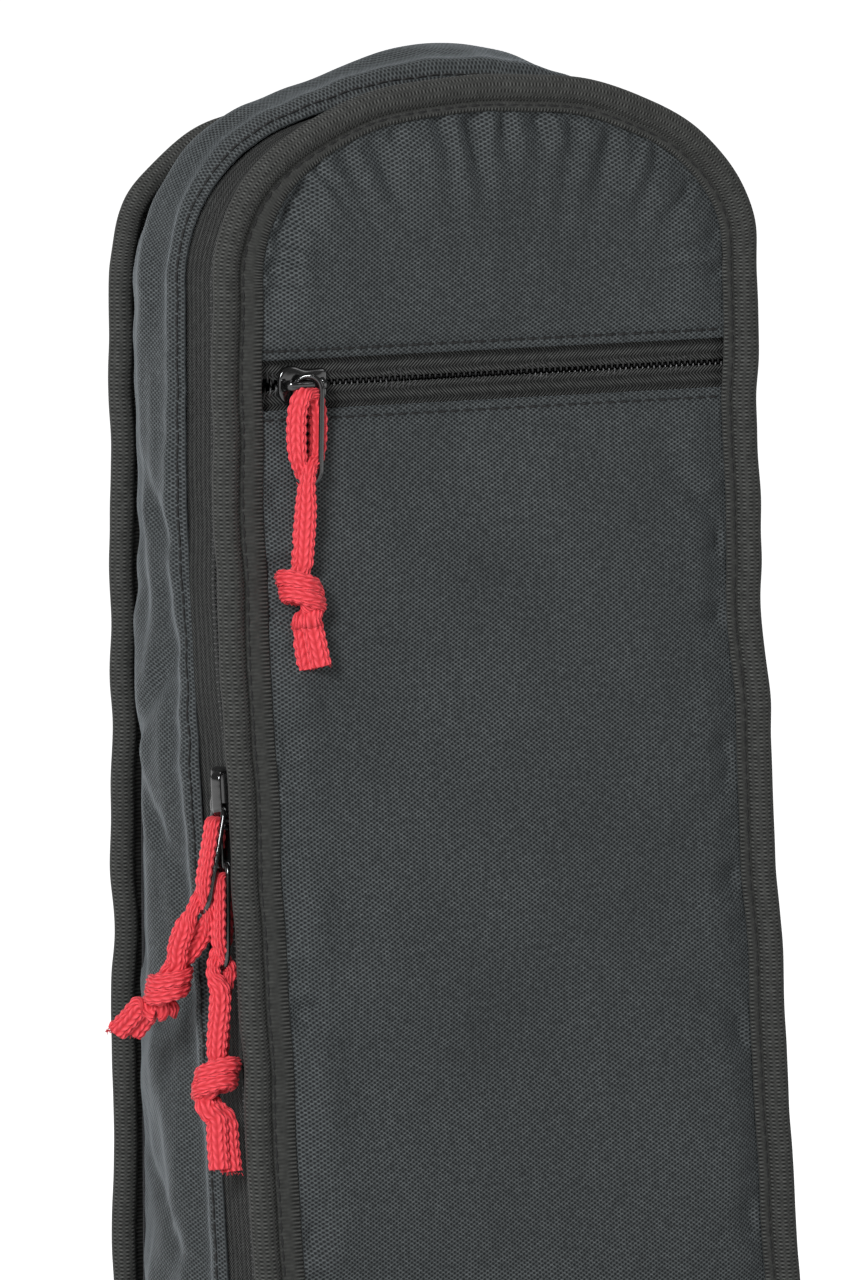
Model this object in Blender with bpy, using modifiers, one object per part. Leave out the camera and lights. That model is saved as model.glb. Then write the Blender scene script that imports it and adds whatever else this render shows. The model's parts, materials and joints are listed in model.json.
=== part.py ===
"""A tall narrow skate bag: a front flap with a zipped pocket on a soft shell, closed by a two-way main zip.

Metres, +Z up. The front faces -Y and +X is on the right of somebody who looks at the front.
The origin is the middle of the base, on the surface that the bag stands on.
"""

import math

import bmesh
import bpy
from mathutils import Matrix, Vector

# The bag's outline, over the bindings.
HEIGHT = 0.540
HALF_WIDTH = 0.0665
CROWN_RADIUS = 0.115
CORNER_RADIUS = 0.040
BASE_CORNER_RADIUS = 0.012

# Its depth: the back is upright, and the front leans between two bends.
BACK_Y = 0.045
DEPTH_TOP = 0.054
DEPTH_BASE = 0.090
UPPER_BEND_Z = 0.445
LOWER_BEND_Z = 0.150
BACK_TOP_DROP = 0.006

# Cloth and trim.
GAP = 0.0003
CLOTH = 0.0012
BINDING_WIDTH = 0.0095
BINDING_DEPTH = 0.0045
BINDING_PROUD = 0.0030
BINDING_ROUNDING = 0.0015
BACK_BINDING_WIDTH = 0.0080
GUSSET_THICKNESS = 0.0014
GUSSET_INSET = 0.0016
GUSSET_TUCK = 0.00012
GUSSET_ROWS = 4
GUSSET_BULGE_SIDE = 0.0025
GUSSET_BULGE_TOP = 0.0085
FOAM_THICKNESS = 0.0040
LINING_THICKNESS = 0.0008
LINING_INSET = 0.0045
POCKET_DEPTH = 0.0090

# Zips, size 5, coil inside.
TAPE_THICKNESS = 0.0006
HALF_TAPE = 0.0147
TAPE_SHOWN = 0.66 * HALF_TAPE
COIL_WIDTH = 0.0022
COIL_THICKNESS = 0.0018
SPLIT = 0.0007
POCKET_ZIP_Z = 0.474
POCKET_ZIP_SHOWN = 0.0061
MAIN_ZIP_BACK = 0.0063
MAIN_TAPE_INSET = 0.0033

# Sliders. Their travel runs along the first local axis, and they face out along the third.
SLIDER_LENGTH = 0.0116
SLIDER_NOSE = 0.0042
SLIDER_TAIL = 0.0033
PLATE = 0.0012
BRIDGE_HALF_LENGTH = 0.0048
BRIDGE_WIDTH = 0.0015
BRIDGE_BAR = 0.0009
BRIDGE_CLEAR = 0.00245
BRIDGE_SHOULDER = 0.8
BRIDGE_TOP_SHARE = 0.87
POST_FROM = 0.35
POST_TO = 0.90
POCKET_SLIDER_X = -0.045
UPPER_SLIDER_Z = 0.386
SLIDER_PITCH = 0.0118

# Wire pullers, to the middle of the wire.
WIRE_RADIUS = 0.0006
PULLER_HALF_WIDTH = 0.0029
PULLER_LENGTH = 0.0233
POCKET_PULLER_TURN = math.radians(34)
POCKET_PULLER_TILT = math.radians(5)
POCKET_PULLER_RISE = 0.0021
SIDE_PULLER_OUT = 0.0010
SIDE_PULLER_ALONG = 0.0026
UPPER_PULLER_TILT = math.radians(14)
LOWER_PULLER_TILT = math.radians(4)

# Pull cords: doubled, with a knot and two tails.
STRAND_RADIUS = 0.0011
STRAND_BEND = 0.0021
STRAND_END = 0.0014
STRAND_STRAIGHT = 0.45
TAIL_SPREAD = 0.0022
TAIL_START = 0.6
KNOT_SIZE = (0.0085, 0.0070, 0.0107)
POCKET_TO_KNOT = Vector((-0.0028, -0.0022, -0.0226))
POCKET_TO_TAILS = Vector((0.0028, -0.0012, -0.0170))
UPPER_TO_KNOT = Vector((-0.0070, 0.0100, -0.0150))
UPPER_TO_TAILS = Vector((-0.0060, 0.0100, -0.0120))
LOWER_TO_KNOT = Vector((-0.0025, -0.0025, -0.0250))
LOWER_TO_TAILS = Vector((0.0005, -0.0035, -0.0195))

# Base and handle.
BASE_THICKNESS = 0.0015
BOARD_THICKNESS = 0.0020
BOARD_SIDE_ROOM = 0.0010
BOARD_BACK_ROOM = 0.0100
HANDLE_WIDTH = 0.025
HANDLE_THICKNESS = 0.0024
HANDLE_LIFT = 0.019
HANDLE_MIDDLE_Z = 0.285
HANDLE_HALF_LENGTH = 0.085
HANDLE_END = 0.024
HANDLE_SLOPE = 0.4 * HANDLE_HALF_LENGTH
HANDLE_STEPS = 22

HINGE_Z = 0.0030

# Worked out from the dimensions above.
CORNER_X = HALF_WIDTH - CORNER_RADIUS
CROWN_Z = HEIGHT - CROWN_RADIUS
CORNER_Z = CROWN_Z + math.sqrt((CROWN_RADIUS - CORNER_RADIUS) ** 2 - CORNER_X**2)
CORNER_ANGLE = math.atan2(CORNER_Z - CROWN_Z, CORNER_X)
FRONT_LEAN = (DEPTH_BASE - DEPTH_TOP) / (UPPER_BEND_Z - LOWER_BEND_Z)
BRIDGE_MIDDLE = BRIDGE_CLEAR + BRIDGE_BAR / 2
TAPE_DEPTH = CLOTH + GAP
COIL_DEPTH = TAPE_DEPTH + TAPE_THICKNESS + GAP
HINGE = Vector((0, BACK_Y - DEPTH_BASE - BINDING_PROUD + BINDING_DEPTH / 2, HINGE_Z))

COLOURS = {
    "cloth": ((0.042, 0.052, 0.054), 0.75, 0.0),
    "binding": ((0.045, 0.045, 0.040), 0.85, 0.0),
    "tape": ((0.034, 0.035, 0.033), 0.85, 0.0),
    "coil": ((0.012, 0.012, 0.012), 0.45, 0.0),
    "slider": ((0.008, 0.008, 0.008), 0.15, 0.6),
    "wire": ((0.010, 0.010, 0.010), 0.15, 0.9),
    "cord": ((0.90, 0.06, 0.08), 0.7, 0.0),
    "lining": ((0.020, 0.021, 0.022), 0.8, 0.0),
    "foam": ((0.30, 0.30, 0.30), 0.95, 0.0),
    "board": ((0.03, 0.03, 0.03), 0.6, 0.0),
}


def clear_scene():
    for old in list(bpy.data.objects):
        bpy.data.objects.remove(old)


def collection(name):
    made = bpy.data.collections.new(name)
    bpy.context.scene.collection.children.link(made)
    return made


def material(name, finish):
    """A material of the piece's own, in one of the bag's finishes."""
    colour, roughness, metallic = COLOURS[finish]
    made = bpy.data.materials.new(name)
    made.use_nodes = True
    shader = made.node_tree.nodes["Principled BSDF"]
    shader.inputs["Base Color"].default_value = (*colour, 1.0)
    shader.inputs["Roughness"].default_value = roughness
    shader.inputs["Metallic"].default_value = metallic
    return made


# ---------------------------------------------------------------- outline


def front_y(z):
    """Outer face of the front panel at a height."""
    below_bend = min(max(UPPER_BEND_Z - z, 0.0), UPPER_BEND_Z - LOWER_BEND_Z)
    return BACK_Y - DEPTH_TOP - FRONT_LEAN * below_bend


def arc(centre_x, centre_z, radius, start, end, steps):
    """Outline stations on an arc, each (x, z, outward x, outward z)."""
    stations = []
    for step in range(steps + 1):
        angle = start + (end - start) * step / steps
        out_x, out_z = math.cos(angle), math.sin(angle)
        stations.append((centre_x + radius * out_x, centre_z + radius * out_z, out_x, out_z))
    return stations


def outline():
    """Stations from the base's left end up the left side, over the top and down to its right end."""
    right = arc(0, CROWN_Z, CROWN_RADIUS, math.pi / 2, CORNER_ANGLE, 3)
    right += arc(CORNER_X, CORNER_Z, CORNER_RADIUS, CORNER_ANGLE, 0, 5)[1:]
    right += [(HALF_WIDTH, z, 1.0, 0.0) for z in (UPPER_BEND_Z, LOWER_BEND_Z)]
    base_x = HALF_WIDTH - BASE_CORNER_RADIUS
    right += arc(base_x, BASE_CORNER_RADIUS, BASE_CORNER_RADIUS, 0, -math.pi / 2, 3)
    left = [(-x, z, -out_x, out_z) for x, z, out_x, out_z in reversed(right[1:])]
    return left + right


def lowered(z, drop):
    """Height of a station when the crown has come down by a drop."""
    return z - drop * max(0.0, z - CORNER_Z) / (HEIGHT - CORNER_Z)


def wall_point(station, y, inset):
    """A point of the side and top wall, at depth y and an inset from the outline."""
    x, z, out_x, out_z = station
    share = (y - front_y(z)) / (BACK_Y - front_y(z))
    return Vector((x - out_x * inset, y, lowered(z, BACK_TOP_DROP * share) - out_z * inset))


def panel_tops(inset, drop):
    """The upper ends of a panel's columns, which stand under the outline's stations."""
    tops = []
    for x, z, out_x, out_z in outline():
        if z > CORNER_Z - GAP:
            tops.append((x - out_x * inset, lowered(z, drop) - out_z * inset))
    return tops


def base_z(x, inset):
    """Lower edge of a panel that reaches the base: its corners are cut off inside the binding's bend."""
    return inset + max(0.0, abs(x) - (HALF_WIDTH - BASE_CORNER_RADIUS))


# ---------------------------------------------------------------- pieces


class Bag:
    """The collections that the pieces go to."""

    def __init__(self):
        self.parts = collection("skate_bag")
        self.helpers = collection("helpers")

    def add(self, name, data, finish):
        piece = bpy.data.objects.new(name, data)
        piece.data.materials.append(material(name, finish))
        self.parts.objects.link(piece)
        return piece

    def sheet(self, name, rows, thickness, finish, closed=False, rounding=0.0):
        """A surface through rows of points, thickened behind its face."""
        mesh = bpy.data.meshes.new(name)
        surface = bmesh.new()
        grid = [[surface.verts.new(point) for point in row] for row in rows]
        pairs = list(zip(grid, grid[1:]))
        if closed:
            pairs.append((grid[-1], grid[0]))
        for row, following in pairs:
            for j in range(len(row) - 1):
                surface.faces.new((row[j], following[j], following[j + 1], row[j + 1]))
        surface.to_mesh(mesh)
        surface.free()
        piece = self.add(name, mesh, finish)
        solid = piece.modifiers.new("thickness", "SOLIDIFY")
        solid.thickness = thickness
        solid.offset = -1.0
        solid.use_even_offset = True
        if rounding:
            round_edges(piece, rounding)
        return piece

    def panel(self, name, inset, low_z, face_y, thickness, finish, high_z=None, bends=(), drop=0.0):
        """An upright sheet inside the outline. face_y gives its front face at a height."""
        tops = panel_tops(inset, drop)
        if high_z is not None:
            edge, bend = HALF_WIDTH - inset, HALF_WIDTH - BASE_CORNER_RADIUS
            tops = [(x, high_z) for x in (-edge, -bend, bend, edge)]
        rows = []
        for x, top in tops:
            low = max(low_z, base_z(x, inset))
            rows.append([Vector((x, face_y(z), z)) for z in (low, *bends, top)])
        return self.sheet(name, rows, thickness, finish)

    def wall(self, name, depths, inset, thickness, finish, bulge=None):
        """A strip of the side and top wall. depths(station) lists the strip's y values, front to back."""
        rows = []
        for station in outline():
            ys = depths(station)
            swell = bulge(station) if bulge else 0.0
            row = []
            for j, y in enumerate(ys):
                out = swell * math.sin(math.pi * j / (len(ys) - 1))
                row.append(wall_point(station, y, inset - out))
            rows.append(row)
        return self.sheet(name, rows, thickness, finish)

    def ring(self, name, face_y, width, finish, drop=0.0):
        """A binding: a flat roll round the outline. face_y gives its front face at a height."""
        rows = []
        for x, z, out_x, out_z in outline():
            top = lowered(z, drop)
            inner = Vector((x - out_x * width, face_y(z), top - out_z * width))
            outer = Vector((x, face_y(z), top))
            rows.append([inner, outer])
        return self.sheet(name, rows, BINDING_DEPTH, finish, closed=True, rounding=BINDING_ROUNDING)

    def tube(self, name, points, radius, finish, cyclic=False):
        """A wire or strand along a list of points."""
        data = bpy.data.curves.new(name, "CURVE")
        data.dimensions = "3D"
        data.bevel_depth = radius
        data.bevel_resolution = 2
        data.use_fill_caps = True
        data.render_resolution_u = 0
        spline = data.splines.new("POLY")
        spline.points.add(len(points) - 1)
        for target, point in zip(spline.points, points):
            target.co = (*point, 1.0)
        spline.use_cyclic_u = cyclic
        return self.add(name, data, finish)

    def outline_solid(self, name, points, thickness, finish):
        """A flat outline with thickness, in its own X and Y, centred on Z = 0."""
        data = bpy.data.curves.new(name, "CURVE")
        data.dimensions = "2D"
        data.fill_mode = "BOTH"
        data.extrude = thickness / 2
        data.render_resolution_u = 0
        spline = data.splines.new("POLY")
        spline.points.add(len(points) - 1)
        for target, (x, y) in zip(spline.points, points):
            target.co = (x, y, 0.0, 1.0)
        spline.use_cyclic_u = True
        return self.add(name, data, finish)

    def as_mesh(self, curve, finish):
        """Swap a curve for a mesh of the same shape, with its caps welded."""
        bpy.context.view_layer.update()
        evaluated = curve.evaluated_get(bpy.context.evaluated_depsgraph_get())
        mesh = bpy.data.meshes.new_from_object(evaluated)
        body = bmesh.new()
        body.from_mesh(mesh)
        bmesh.ops.remove_doubles(body, verts=body.verts, dist=1e-6)
        body.to_mesh(mesh)
        body.free()
        name, matrix = curve.name, curve.matrix_world.copy()
        bpy.data.objects.remove(curve)
        mesh.materials.clear()
        piece = self.add(name, mesh, finish)
        piece.matrix_world = matrix
        return piece

    def join(self, piece, others):
        """Make one body of a piece and the helpers that reach into it."""
        for other in others:
            self.parts.objects.unlink(other)
            self.helpers.objects.link(other)
            other.hide_render = True
            other.display_type = "WIRE"
            union = piece.modifiers.new("join_" + other.name, "BOOLEAN")
            union.operation = "UNION"
            union.solver = "EXACT"
            union.object = other


def round_edges(piece, width):
    bevel = piece.modifiers.new("rounding", "BEVEL")
    bevel.width = width
    bevel.segments = 1
    bevel.limit_method = "ANGLE"
    bevel.angle_limit = math.radians(50)


def block(name, bag, low, high, finish):
    """A box between two corners."""
    mesh = bpy.data.meshes.new(name)
    body = bmesh.new()
    bmesh.ops.create_cube(body, size=1.0)
    low, high = Vector(low), Vector(high)
    for vertex in body.verts:
        share = vertex.co + Vector((0.5, 0.5, 0.5))
        vertex.co = low + Vector((high[k] - low[k]) * share[k] for k in range(3))
    body.to_mesh(mesh)
    body.free()
    return bag.add(name, mesh, finish)


def carry(empty, pieces):
    """Parent pieces to an empty on their joint's axis, without moving them."""
    for piece in pieces:
        piece.parent = empty
        piece.matrix_parent_inverse = empty.matrix_world.inverted()


def axes_matrix(origin, first, second, third):
    """A placing whose local axes are the three directions given."""
    return Matrix.Translation(origin) @ Matrix((first, second, third)).transposed().to_4x4()


# ---------------------------------------------------------------- shell


def shell(bag):
    """Gusset, base and bindings, which stay still."""

    def gusset_depths(station):
        front = front_y(station[1]) + MAIN_ZIP_BACK + TAPE_SHOWN
        back = BACK_Y - BINDING_DEPTH + GUSSET_TUCK
        return [front + (back - front) * step / GUSSET_ROWS for step in range(GUSSET_ROWS + 1)]

    def gusset_bulge(station):
        if station[1] < 2 * BASE_CORNER_RADIUS:
            return 0.0
        upward = max(0.0, station[3]) ** 2
        return GUSSET_BULGE_SIDE + (GUSSET_BULGE_TOP - GUSSET_BULGE_SIDE) * upward

    bag.wall("side_gusset", gusset_depths, GUSSET_INSET, GUSSET_THICKNESS, "cloth", gusset_bulge)
    bag.ring(
        "back_binding",
        lambda z: BACK_Y - BINDING_DEPTH + 2 * GAP,
        BACK_BINDING_WIDTH,
        "binding",
        drop=BACK_TOP_DROP,
    )
    base_x = HALF_WIDTH - BASE_CORNER_RADIUS
    base_front = front_y(0) - BINDING_PROUD + BINDING_DEPTH + 4 * GAP
    base_back = BACK_Y - BINDING_DEPTH
    block("base_panel", bag, (-base_x, base_front, 0), (base_x, base_back, BASE_THICKNESS), "cloth")
    board_x = base_x - BOARD_SIDE_ROOM
    board_z = BASE_THICKNESS + GAP
    block(
        "base_board",
        bag,
        (-board_x, front_y(0) + 2 * POCKET_DEPTH, board_z),
        (board_x, BACK_Y - BOARD_BACK_ROOM, board_z + BOARD_THICKNESS),
        "board",
    )


def back(bag):
    """Back panel with its foam and lining, and the webbing handle."""
    panel_face = BACK_Y - CLOTH
    foam_face = panel_face - GAP - FOAM_THICKNESS
    lining_face = foam_face - GAP - LINING_THICKNESS
    inset = BACK_BINDING_WIDTH + GAP
    drop = BACK_TOP_DROP
    bag.panel("back_panel", inset, 0.0, lambda z: panel_face, CLOTH, "cloth", drop=drop)
    bag.panel("back_foam", inset, 0.0, lambda z: foam_face, FOAM_THICKNESS, "foam", drop=drop)
    bag.panel("back_lining", LINING_INSET, 0.0, lambda z: lining_face, LINING_THICKNESS, "lining", drop=drop)

    rows = []
    for x in (-HANDLE_WIDTH / 2, HANDLE_WIDTH / 2):
        row = []
        for step in range(HANDLE_STEPS + 1):
            along = (2 * step / HANDLE_STEPS - 1) * HANDLE_HALF_LENGTH
            free = (HANDLE_HALF_LENGTH - HANDLE_END - abs(along)) / HANDLE_SLOPE
            free = min(max(free, 0.0), 1.0)
            lift = HANDLE_LIFT * free * free * (3 - 2 * free)
            row.append(Vector((x, BACK_Y + 2 * GAP + lift, HANDLE_MIDDLE_Z + along)))
        rows.append(row)
    bag.sheet("carry_handle", rows, HANDLE_THICKNESS, "binding")


# ---------------------------------------------------------------- zips


def main_zip(bag):
    """Both halves of the main zip, side by side round the wall. Returns the flap's half."""

    def strip(start, end):
        def depths(station):
            middle = front_y(station[1]) + MAIN_ZIP_BACK
            return [middle + start, middle + end]

        return depths

    coil_inset = MAIN_TAPE_INSET + TAPE_THICKNESS + GAP
    bag.wall("gusset_zip_tape", strip(SPLIT, HALF_TAPE), MAIN_TAPE_INSET, TAPE_THICKNESS, "tape")
    bag.wall("gusset_zip_coil", strip(SPLIT, SPLIT + COIL_WIDTH), coil_inset, COIL_THICKNESS, "coil")
    binding_back = BINDING_DEPTH - BINDING_PROUD + GAP
    tape = bag.wall(
        "flap_zip_tape", strip(binding_back - MAIN_ZIP_BACK, -SPLIT), MAIN_TAPE_INSET, TAPE_THICKNESS, "tape"
    )
    coil = bag.wall("flap_zip_coil", strip(-SPLIT - COIL_WIDTH, -SPLIT), coil_inset, COIL_THICKNESS, "coil")
    return [tape, coil]


def pocket_zip(bag):
    """Tapes and coils of the pocket zip, which runs across behind the front panel's two edges."""
    inset = BINDING_WIDTH + GAP
    pieces = []
    for side, sign in (("upper", 1), ("lower", -1)):
        for kind, reach, depth, thickness, finish in (
            ("tape", HALF_TAPE, TAPE_DEPTH, TAPE_THICKNESS, "tape"),
            ("coil", SPLIT + COIL_WIDTH, COIL_DEPTH, COIL_THICKNESS, "coil"),
        ):
            low, high = sorted((POCKET_ZIP_Z + sign * SPLIT, POCKET_ZIP_Z + sign * reach))
            pieces.append(
                bag.panel(
                    f"pocket_{kind}_{side}",
                    inset,
                    low,
                    lambda z, depth=depth: front_y(UPPER_BEND_Z) + depth,
                    thickness,
                    finish,
                    high_z=high,
                )
            )
    return pieces


# ---------------------------------------------------------------- flap


def flap(bag):
    """The front that opens: panels, pocket lining, binding and its halves of the zips."""
    inset = BINDING_WIDTH + GAP
    bends = (LOWER_BEND_Z, UPPER_BEND_Z)
    upper_edge = POCKET_ZIP_Z + POCKET_ZIP_SHOWN
    lower_edge = POCKET_ZIP_Z - POCKET_ZIP_SHOWN
    pieces = [
        bag.panel("front_panel_upper", inset, upper_edge, front_y, CLOTH, "cloth"),
        bag.panel("front_panel_lower", inset, 0.0, front_y, CLOTH, "cloth", high_z=lower_edge, bends=bends),
        bag.panel(
            "pocket_lining",
            inset,
            0.0,
            lambda z: front_y(z) + POCKET_DEPTH,
            LINING_THICKNESS,
            "lining",
            bends=bends,
        ),
        bag.ring("front_binding", lambda z: front_y(z) - BINDING_PROUD, BINDING_WIDTH, "binding"),
    ]
    pieces += main_zip(bag)
    pieces += pocket_zip(bag)
    hinge = bpy.data.objects.new("front_flap_hinge", None)
    hinge.location = HINGE
    bag.helpers.objects.link(hinge)
    bpy.context.view_layer.update()
    carry(hinge, pieces)


# ---------------------------------------------------------------- sliders


def plate_outline():
    """Half of the slider plate's outline, mirrored: a square tail and a wide rounded nose."""
    half = SLIDER_LENGTH / 2
    side = [(-half, SLIDER_TAIL), (0.1 * half, SLIDER_TAIL), (0.45 * half, SLIDER_NOSE)]
    side += [(0.8 * half, 0.85 * SLIDER_NOSE), (half, 0.4 * SLIDER_NOSE)]
    return side + [(x, -y) for x, y in reversed(side)]


def bridge_outline():
    """The bridge seen from the side, with its feet sunk into the plate."""
    foot = -PLATE / 3
    top = BRIDGE_CLEAR + BRIDGE_BAR
    outer = [(BRIDGE_HALF_LENGTH, foot), (BRIDGE_HALF_LENGTH, BRIDGE_SHOULDER * top)]
    outer.append((BRIDGE_TOP_SHARE * BRIDGE_HALF_LENGTH, top))
    inner_half = BRIDGE_HALF_LENGTH - PLATE
    inner = [(inner_half, foot), (inner_half, BRIDGE_CLEAR)]
    left_outer = [(-x, z) for x, z in reversed(outer)]
    left_inner = [(-x, z) for x, z in inner]
    return outer + left_outer + left_inner + list(reversed(inner))


def slider(bag, name, centre, to_nose, outward):
    """A slider body. centre is on the outer plate's outer face, over the middle of the zip."""
    across = outward.cross(to_nose)
    gap = TAPE_THICKNESS + COIL_THICKNESS + 3 * GAP
    outer = bag.outline_solid(name, plate_outline(), PLATE, "slider")
    outer.matrix_world = Matrix.Translation((0, 0, -PLATE / 2))
    inner = bag.outline_solid(name + "_inner_plate", plate_outline(), PLATE, "slider")
    inner.matrix_world = Matrix.Translation((0, 0, -1.5 * PLATE - gap))
    bridge = bag.outline_solid(name + "_bridge", bridge_outline(), BRIDGE_WIDTH, "slider")
    bridge.matrix_world = axes_matrix(Vector(), Vector((1, 0, 0)), Vector((0, 0, 1)), Vector((0, -1, 0)))
    half = SLIDER_LENGTH / 2
    low = (POST_FROM * half, -SPLIT + GAP, -PLATE - gap - PLATE / 3)
    high = (POST_TO * half, SPLIT - GAP, -2 * PLATE / 3)
    post = block(name + "_post", bag, low, high, "slider")
    outer, inner, bridge = (bag.as_mesh(piece, "slider") for piece in (outer, inner, bridge))
    place = axes_matrix(centre, to_nose, across, outward)
    for piece in (outer, inner, bridge, post):
        piece.matrix_world = place @ piece.matrix_world
    bag.join(outer, (inner, bridge, post))
    return outer


def wire_loop(top):
    """Points of a puller's wire in its own plane: across X and down -Z, with its top bend at a height."""
    radius = PULLER_HALF_WIDTH
    upper = top - radius
    lower = top - PULLER_LENGTH + radius
    steps = 5
    points = []
    for step in range(steps + 1):
        angle = math.pi * step / steps
        points.append(Vector((radius * math.cos(angle), 0, upper + radius * math.sin(angle))))
    for step in range(steps + 1):
        angle = math.pi * (1 + step / steps)
        points.append(Vector((radius * math.cos(angle), 0, lower + radius * math.sin(angle))))
    return points


def puller(bag, name, pivot, across, outward, top, tilt):
    """A wire loop that hangs from a slider's bridge. Returns the middle of its bottom bar and its upward axis."""
    down = across.cross(outward)
    if down.z > 0:
        down = -down
    tilted_down = (down * math.cos(tilt) + outward * math.sin(tilt)).normalized()
    up = -tilted_down
    normal = up.cross(across).normalized()
    loop = bag.tube(name, wire_loop(top), WIRE_RADIUS, "wire", cyclic=True)
    loop.matrix_world = axes_matrix(pivot, across, normal, up)
    bar = pivot + up * (top - PULLER_LENGTH)
    return bar, up


def pull_cord(bag, name, bar, up, outward, to_knot, to_tails):
    """A doubled cord over a puller's bottom bar, with its knot and two tails, as one solid."""
    out = (outward - up * outward.dot(up)).normalized()
    strand = [to_knot + out * STRAND_END, STRAND_STRAIGHT * to_knot + out * STRAND_BEND]
    steps = 5
    for step in range(steps + 1):
        angle = math.pi * step / steps
        strand.append((out * math.cos(angle) + up * math.sin(angle)) * STRAND_BEND)
    strand += [STRAND_STRAIGHT * to_knot - out * STRAND_BEND, to_knot - out * STRAND_END]
    pieces = [bag.tube(name + "_strand", strand, STRAND_RADIUS, "cord")]
    across = out.cross(up)
    for label, sign in (("a", 1), ("b", -1)):
        spread = across * sign * TAIL_SPREAD
        tail = [to_knot + TAIL_START * spread, to_knot + to_tails / 2 + spread, to_knot + to_tails + spread]
        pieces.append(bag.tube(f"{name}_tail_{label}", tail, STRAND_RADIUS, "cord"))
    mesh = bpy.data.meshes.new(name)
    body = bmesh.new()
    bmesh.ops.create_uvsphere(body, u_segments=10, v_segments=7, radius=0.5)
    for vertex in body.verts:
        sized = Vector(vertex.co[k] * KNOT_SIZE[k] for k in range(3))
        vertex.co = to_knot + sized
    body.to_mesh(mesh)
    body.free()
    knot = bag.add(name, mesh, "cord")
    pieces = [bag.as_mesh(piece, "cord") for piece in pieces]
    for piece in (knot, *pieces):
        piece.matrix_world = Matrix.Translation(bar)
    bag.join(knot, pieces)


def pocket_pull(bag):
    """Slider, puller and cord of the pocket zip."""
    left, outward, up = Vector((-1, 0, 0)), Vector((0, -1, 0)), Vector((0, 0, 1))
    centre = Vector((POCKET_SLIDER_X, front_y(POCKET_ZIP_Z), POCKET_ZIP_Z))
    slider(bag, "pocket_slider", centre, left, outward)
    pivot = centre + outward * BRIDGE_MIDDLE
    turn = Matrix.Rotation(-POCKET_PULLER_TURN, 3, "Z")
    bar, up = puller(
        bag, "pocket_puller", pivot, turn @ -left, turn @ outward, POCKET_PULLER_RISE, POCKET_PULLER_TILT
    )
    pull_cord(bag, "pocket_pull_cord", bar, up, outward, POCKET_TO_KNOT, POCKET_TO_TAILS)


def side_pull(bag, label, z, nose_up, tilt, to_knot, to_tails):
    """Slider, puller and cord on the left run of the main zip."""
    outward = Vector((-1, 0, 0))
    along = Vector((0, FRONT_LEAN, 1)).normalized()
    plate_inset = MAIN_TAPE_INSET - GAP - PLATE
    centre = Vector((plate_inset - HALF_WIDTH, front_y(z) + MAIN_ZIP_BACK, z))
    slider(bag, label + "_slider", centre, along if nose_up else -along, outward)
    pivot = centre - along * SIDE_PULLER_ALONG + outward * SIDE_PULLER_OUT
    across = outward.cross(along)
    bar, up = puller(bag, label + "_puller", pivot, across, outward, 0.0, tilt)
    pull_cord(bag, label + "_pull_cord", bar, up, outward, to_knot, to_tails)


def build():
    clear_scene()
    bag = Bag()
    shell(bag)
    back(bag)
    flap(bag)
    pocket_pull(bag)
    lower_slider_z = UPPER_SLIDER_Z - SLIDER_PITCH
    side_pull(bag, "upper", UPPER_SLIDER_Z, False, UPPER_PULLER_TILT, UPPER_TO_KNOT, UPPER_TO_TAILS)
    side_pull(bag, "lower", lower_slider_z, True, LOWER_PULLER_TILT, LOWER_TO_KNOT, LOWER_TO_TAILS)


build()
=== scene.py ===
"""Looks of a tall narrow skate bag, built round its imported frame.

Metres, +Z up, front to -Y. Small lengths are written in millimetres times MM.
Most surfaces are grids of points. Each carries a "cloth" attribute with its own distances in
millimetres, which the woven materials read, so that every weave has its real size.
"""

import json
import math

import bmesh
import bpy
import numpy as np
from mathutils import Matrix, Vector


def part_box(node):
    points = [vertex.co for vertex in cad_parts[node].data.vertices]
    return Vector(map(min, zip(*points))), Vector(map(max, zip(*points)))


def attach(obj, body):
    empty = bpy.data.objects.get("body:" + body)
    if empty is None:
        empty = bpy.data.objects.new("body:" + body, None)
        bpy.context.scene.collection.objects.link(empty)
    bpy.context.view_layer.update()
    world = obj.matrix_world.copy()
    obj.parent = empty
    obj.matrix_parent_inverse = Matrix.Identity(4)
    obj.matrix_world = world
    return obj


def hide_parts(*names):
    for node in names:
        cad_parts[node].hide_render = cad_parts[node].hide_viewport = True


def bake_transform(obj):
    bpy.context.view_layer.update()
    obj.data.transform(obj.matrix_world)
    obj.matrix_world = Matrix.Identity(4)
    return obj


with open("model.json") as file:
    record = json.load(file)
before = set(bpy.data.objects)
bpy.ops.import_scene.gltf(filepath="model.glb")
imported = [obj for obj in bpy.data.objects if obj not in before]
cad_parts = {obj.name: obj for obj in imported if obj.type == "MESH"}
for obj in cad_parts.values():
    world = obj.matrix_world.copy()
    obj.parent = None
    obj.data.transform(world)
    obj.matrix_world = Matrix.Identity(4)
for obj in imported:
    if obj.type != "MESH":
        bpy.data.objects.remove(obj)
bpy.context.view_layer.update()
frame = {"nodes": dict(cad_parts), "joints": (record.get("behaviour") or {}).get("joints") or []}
MM = 0.001
QUARTER_TURN = 0.5 * math.pi

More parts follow.
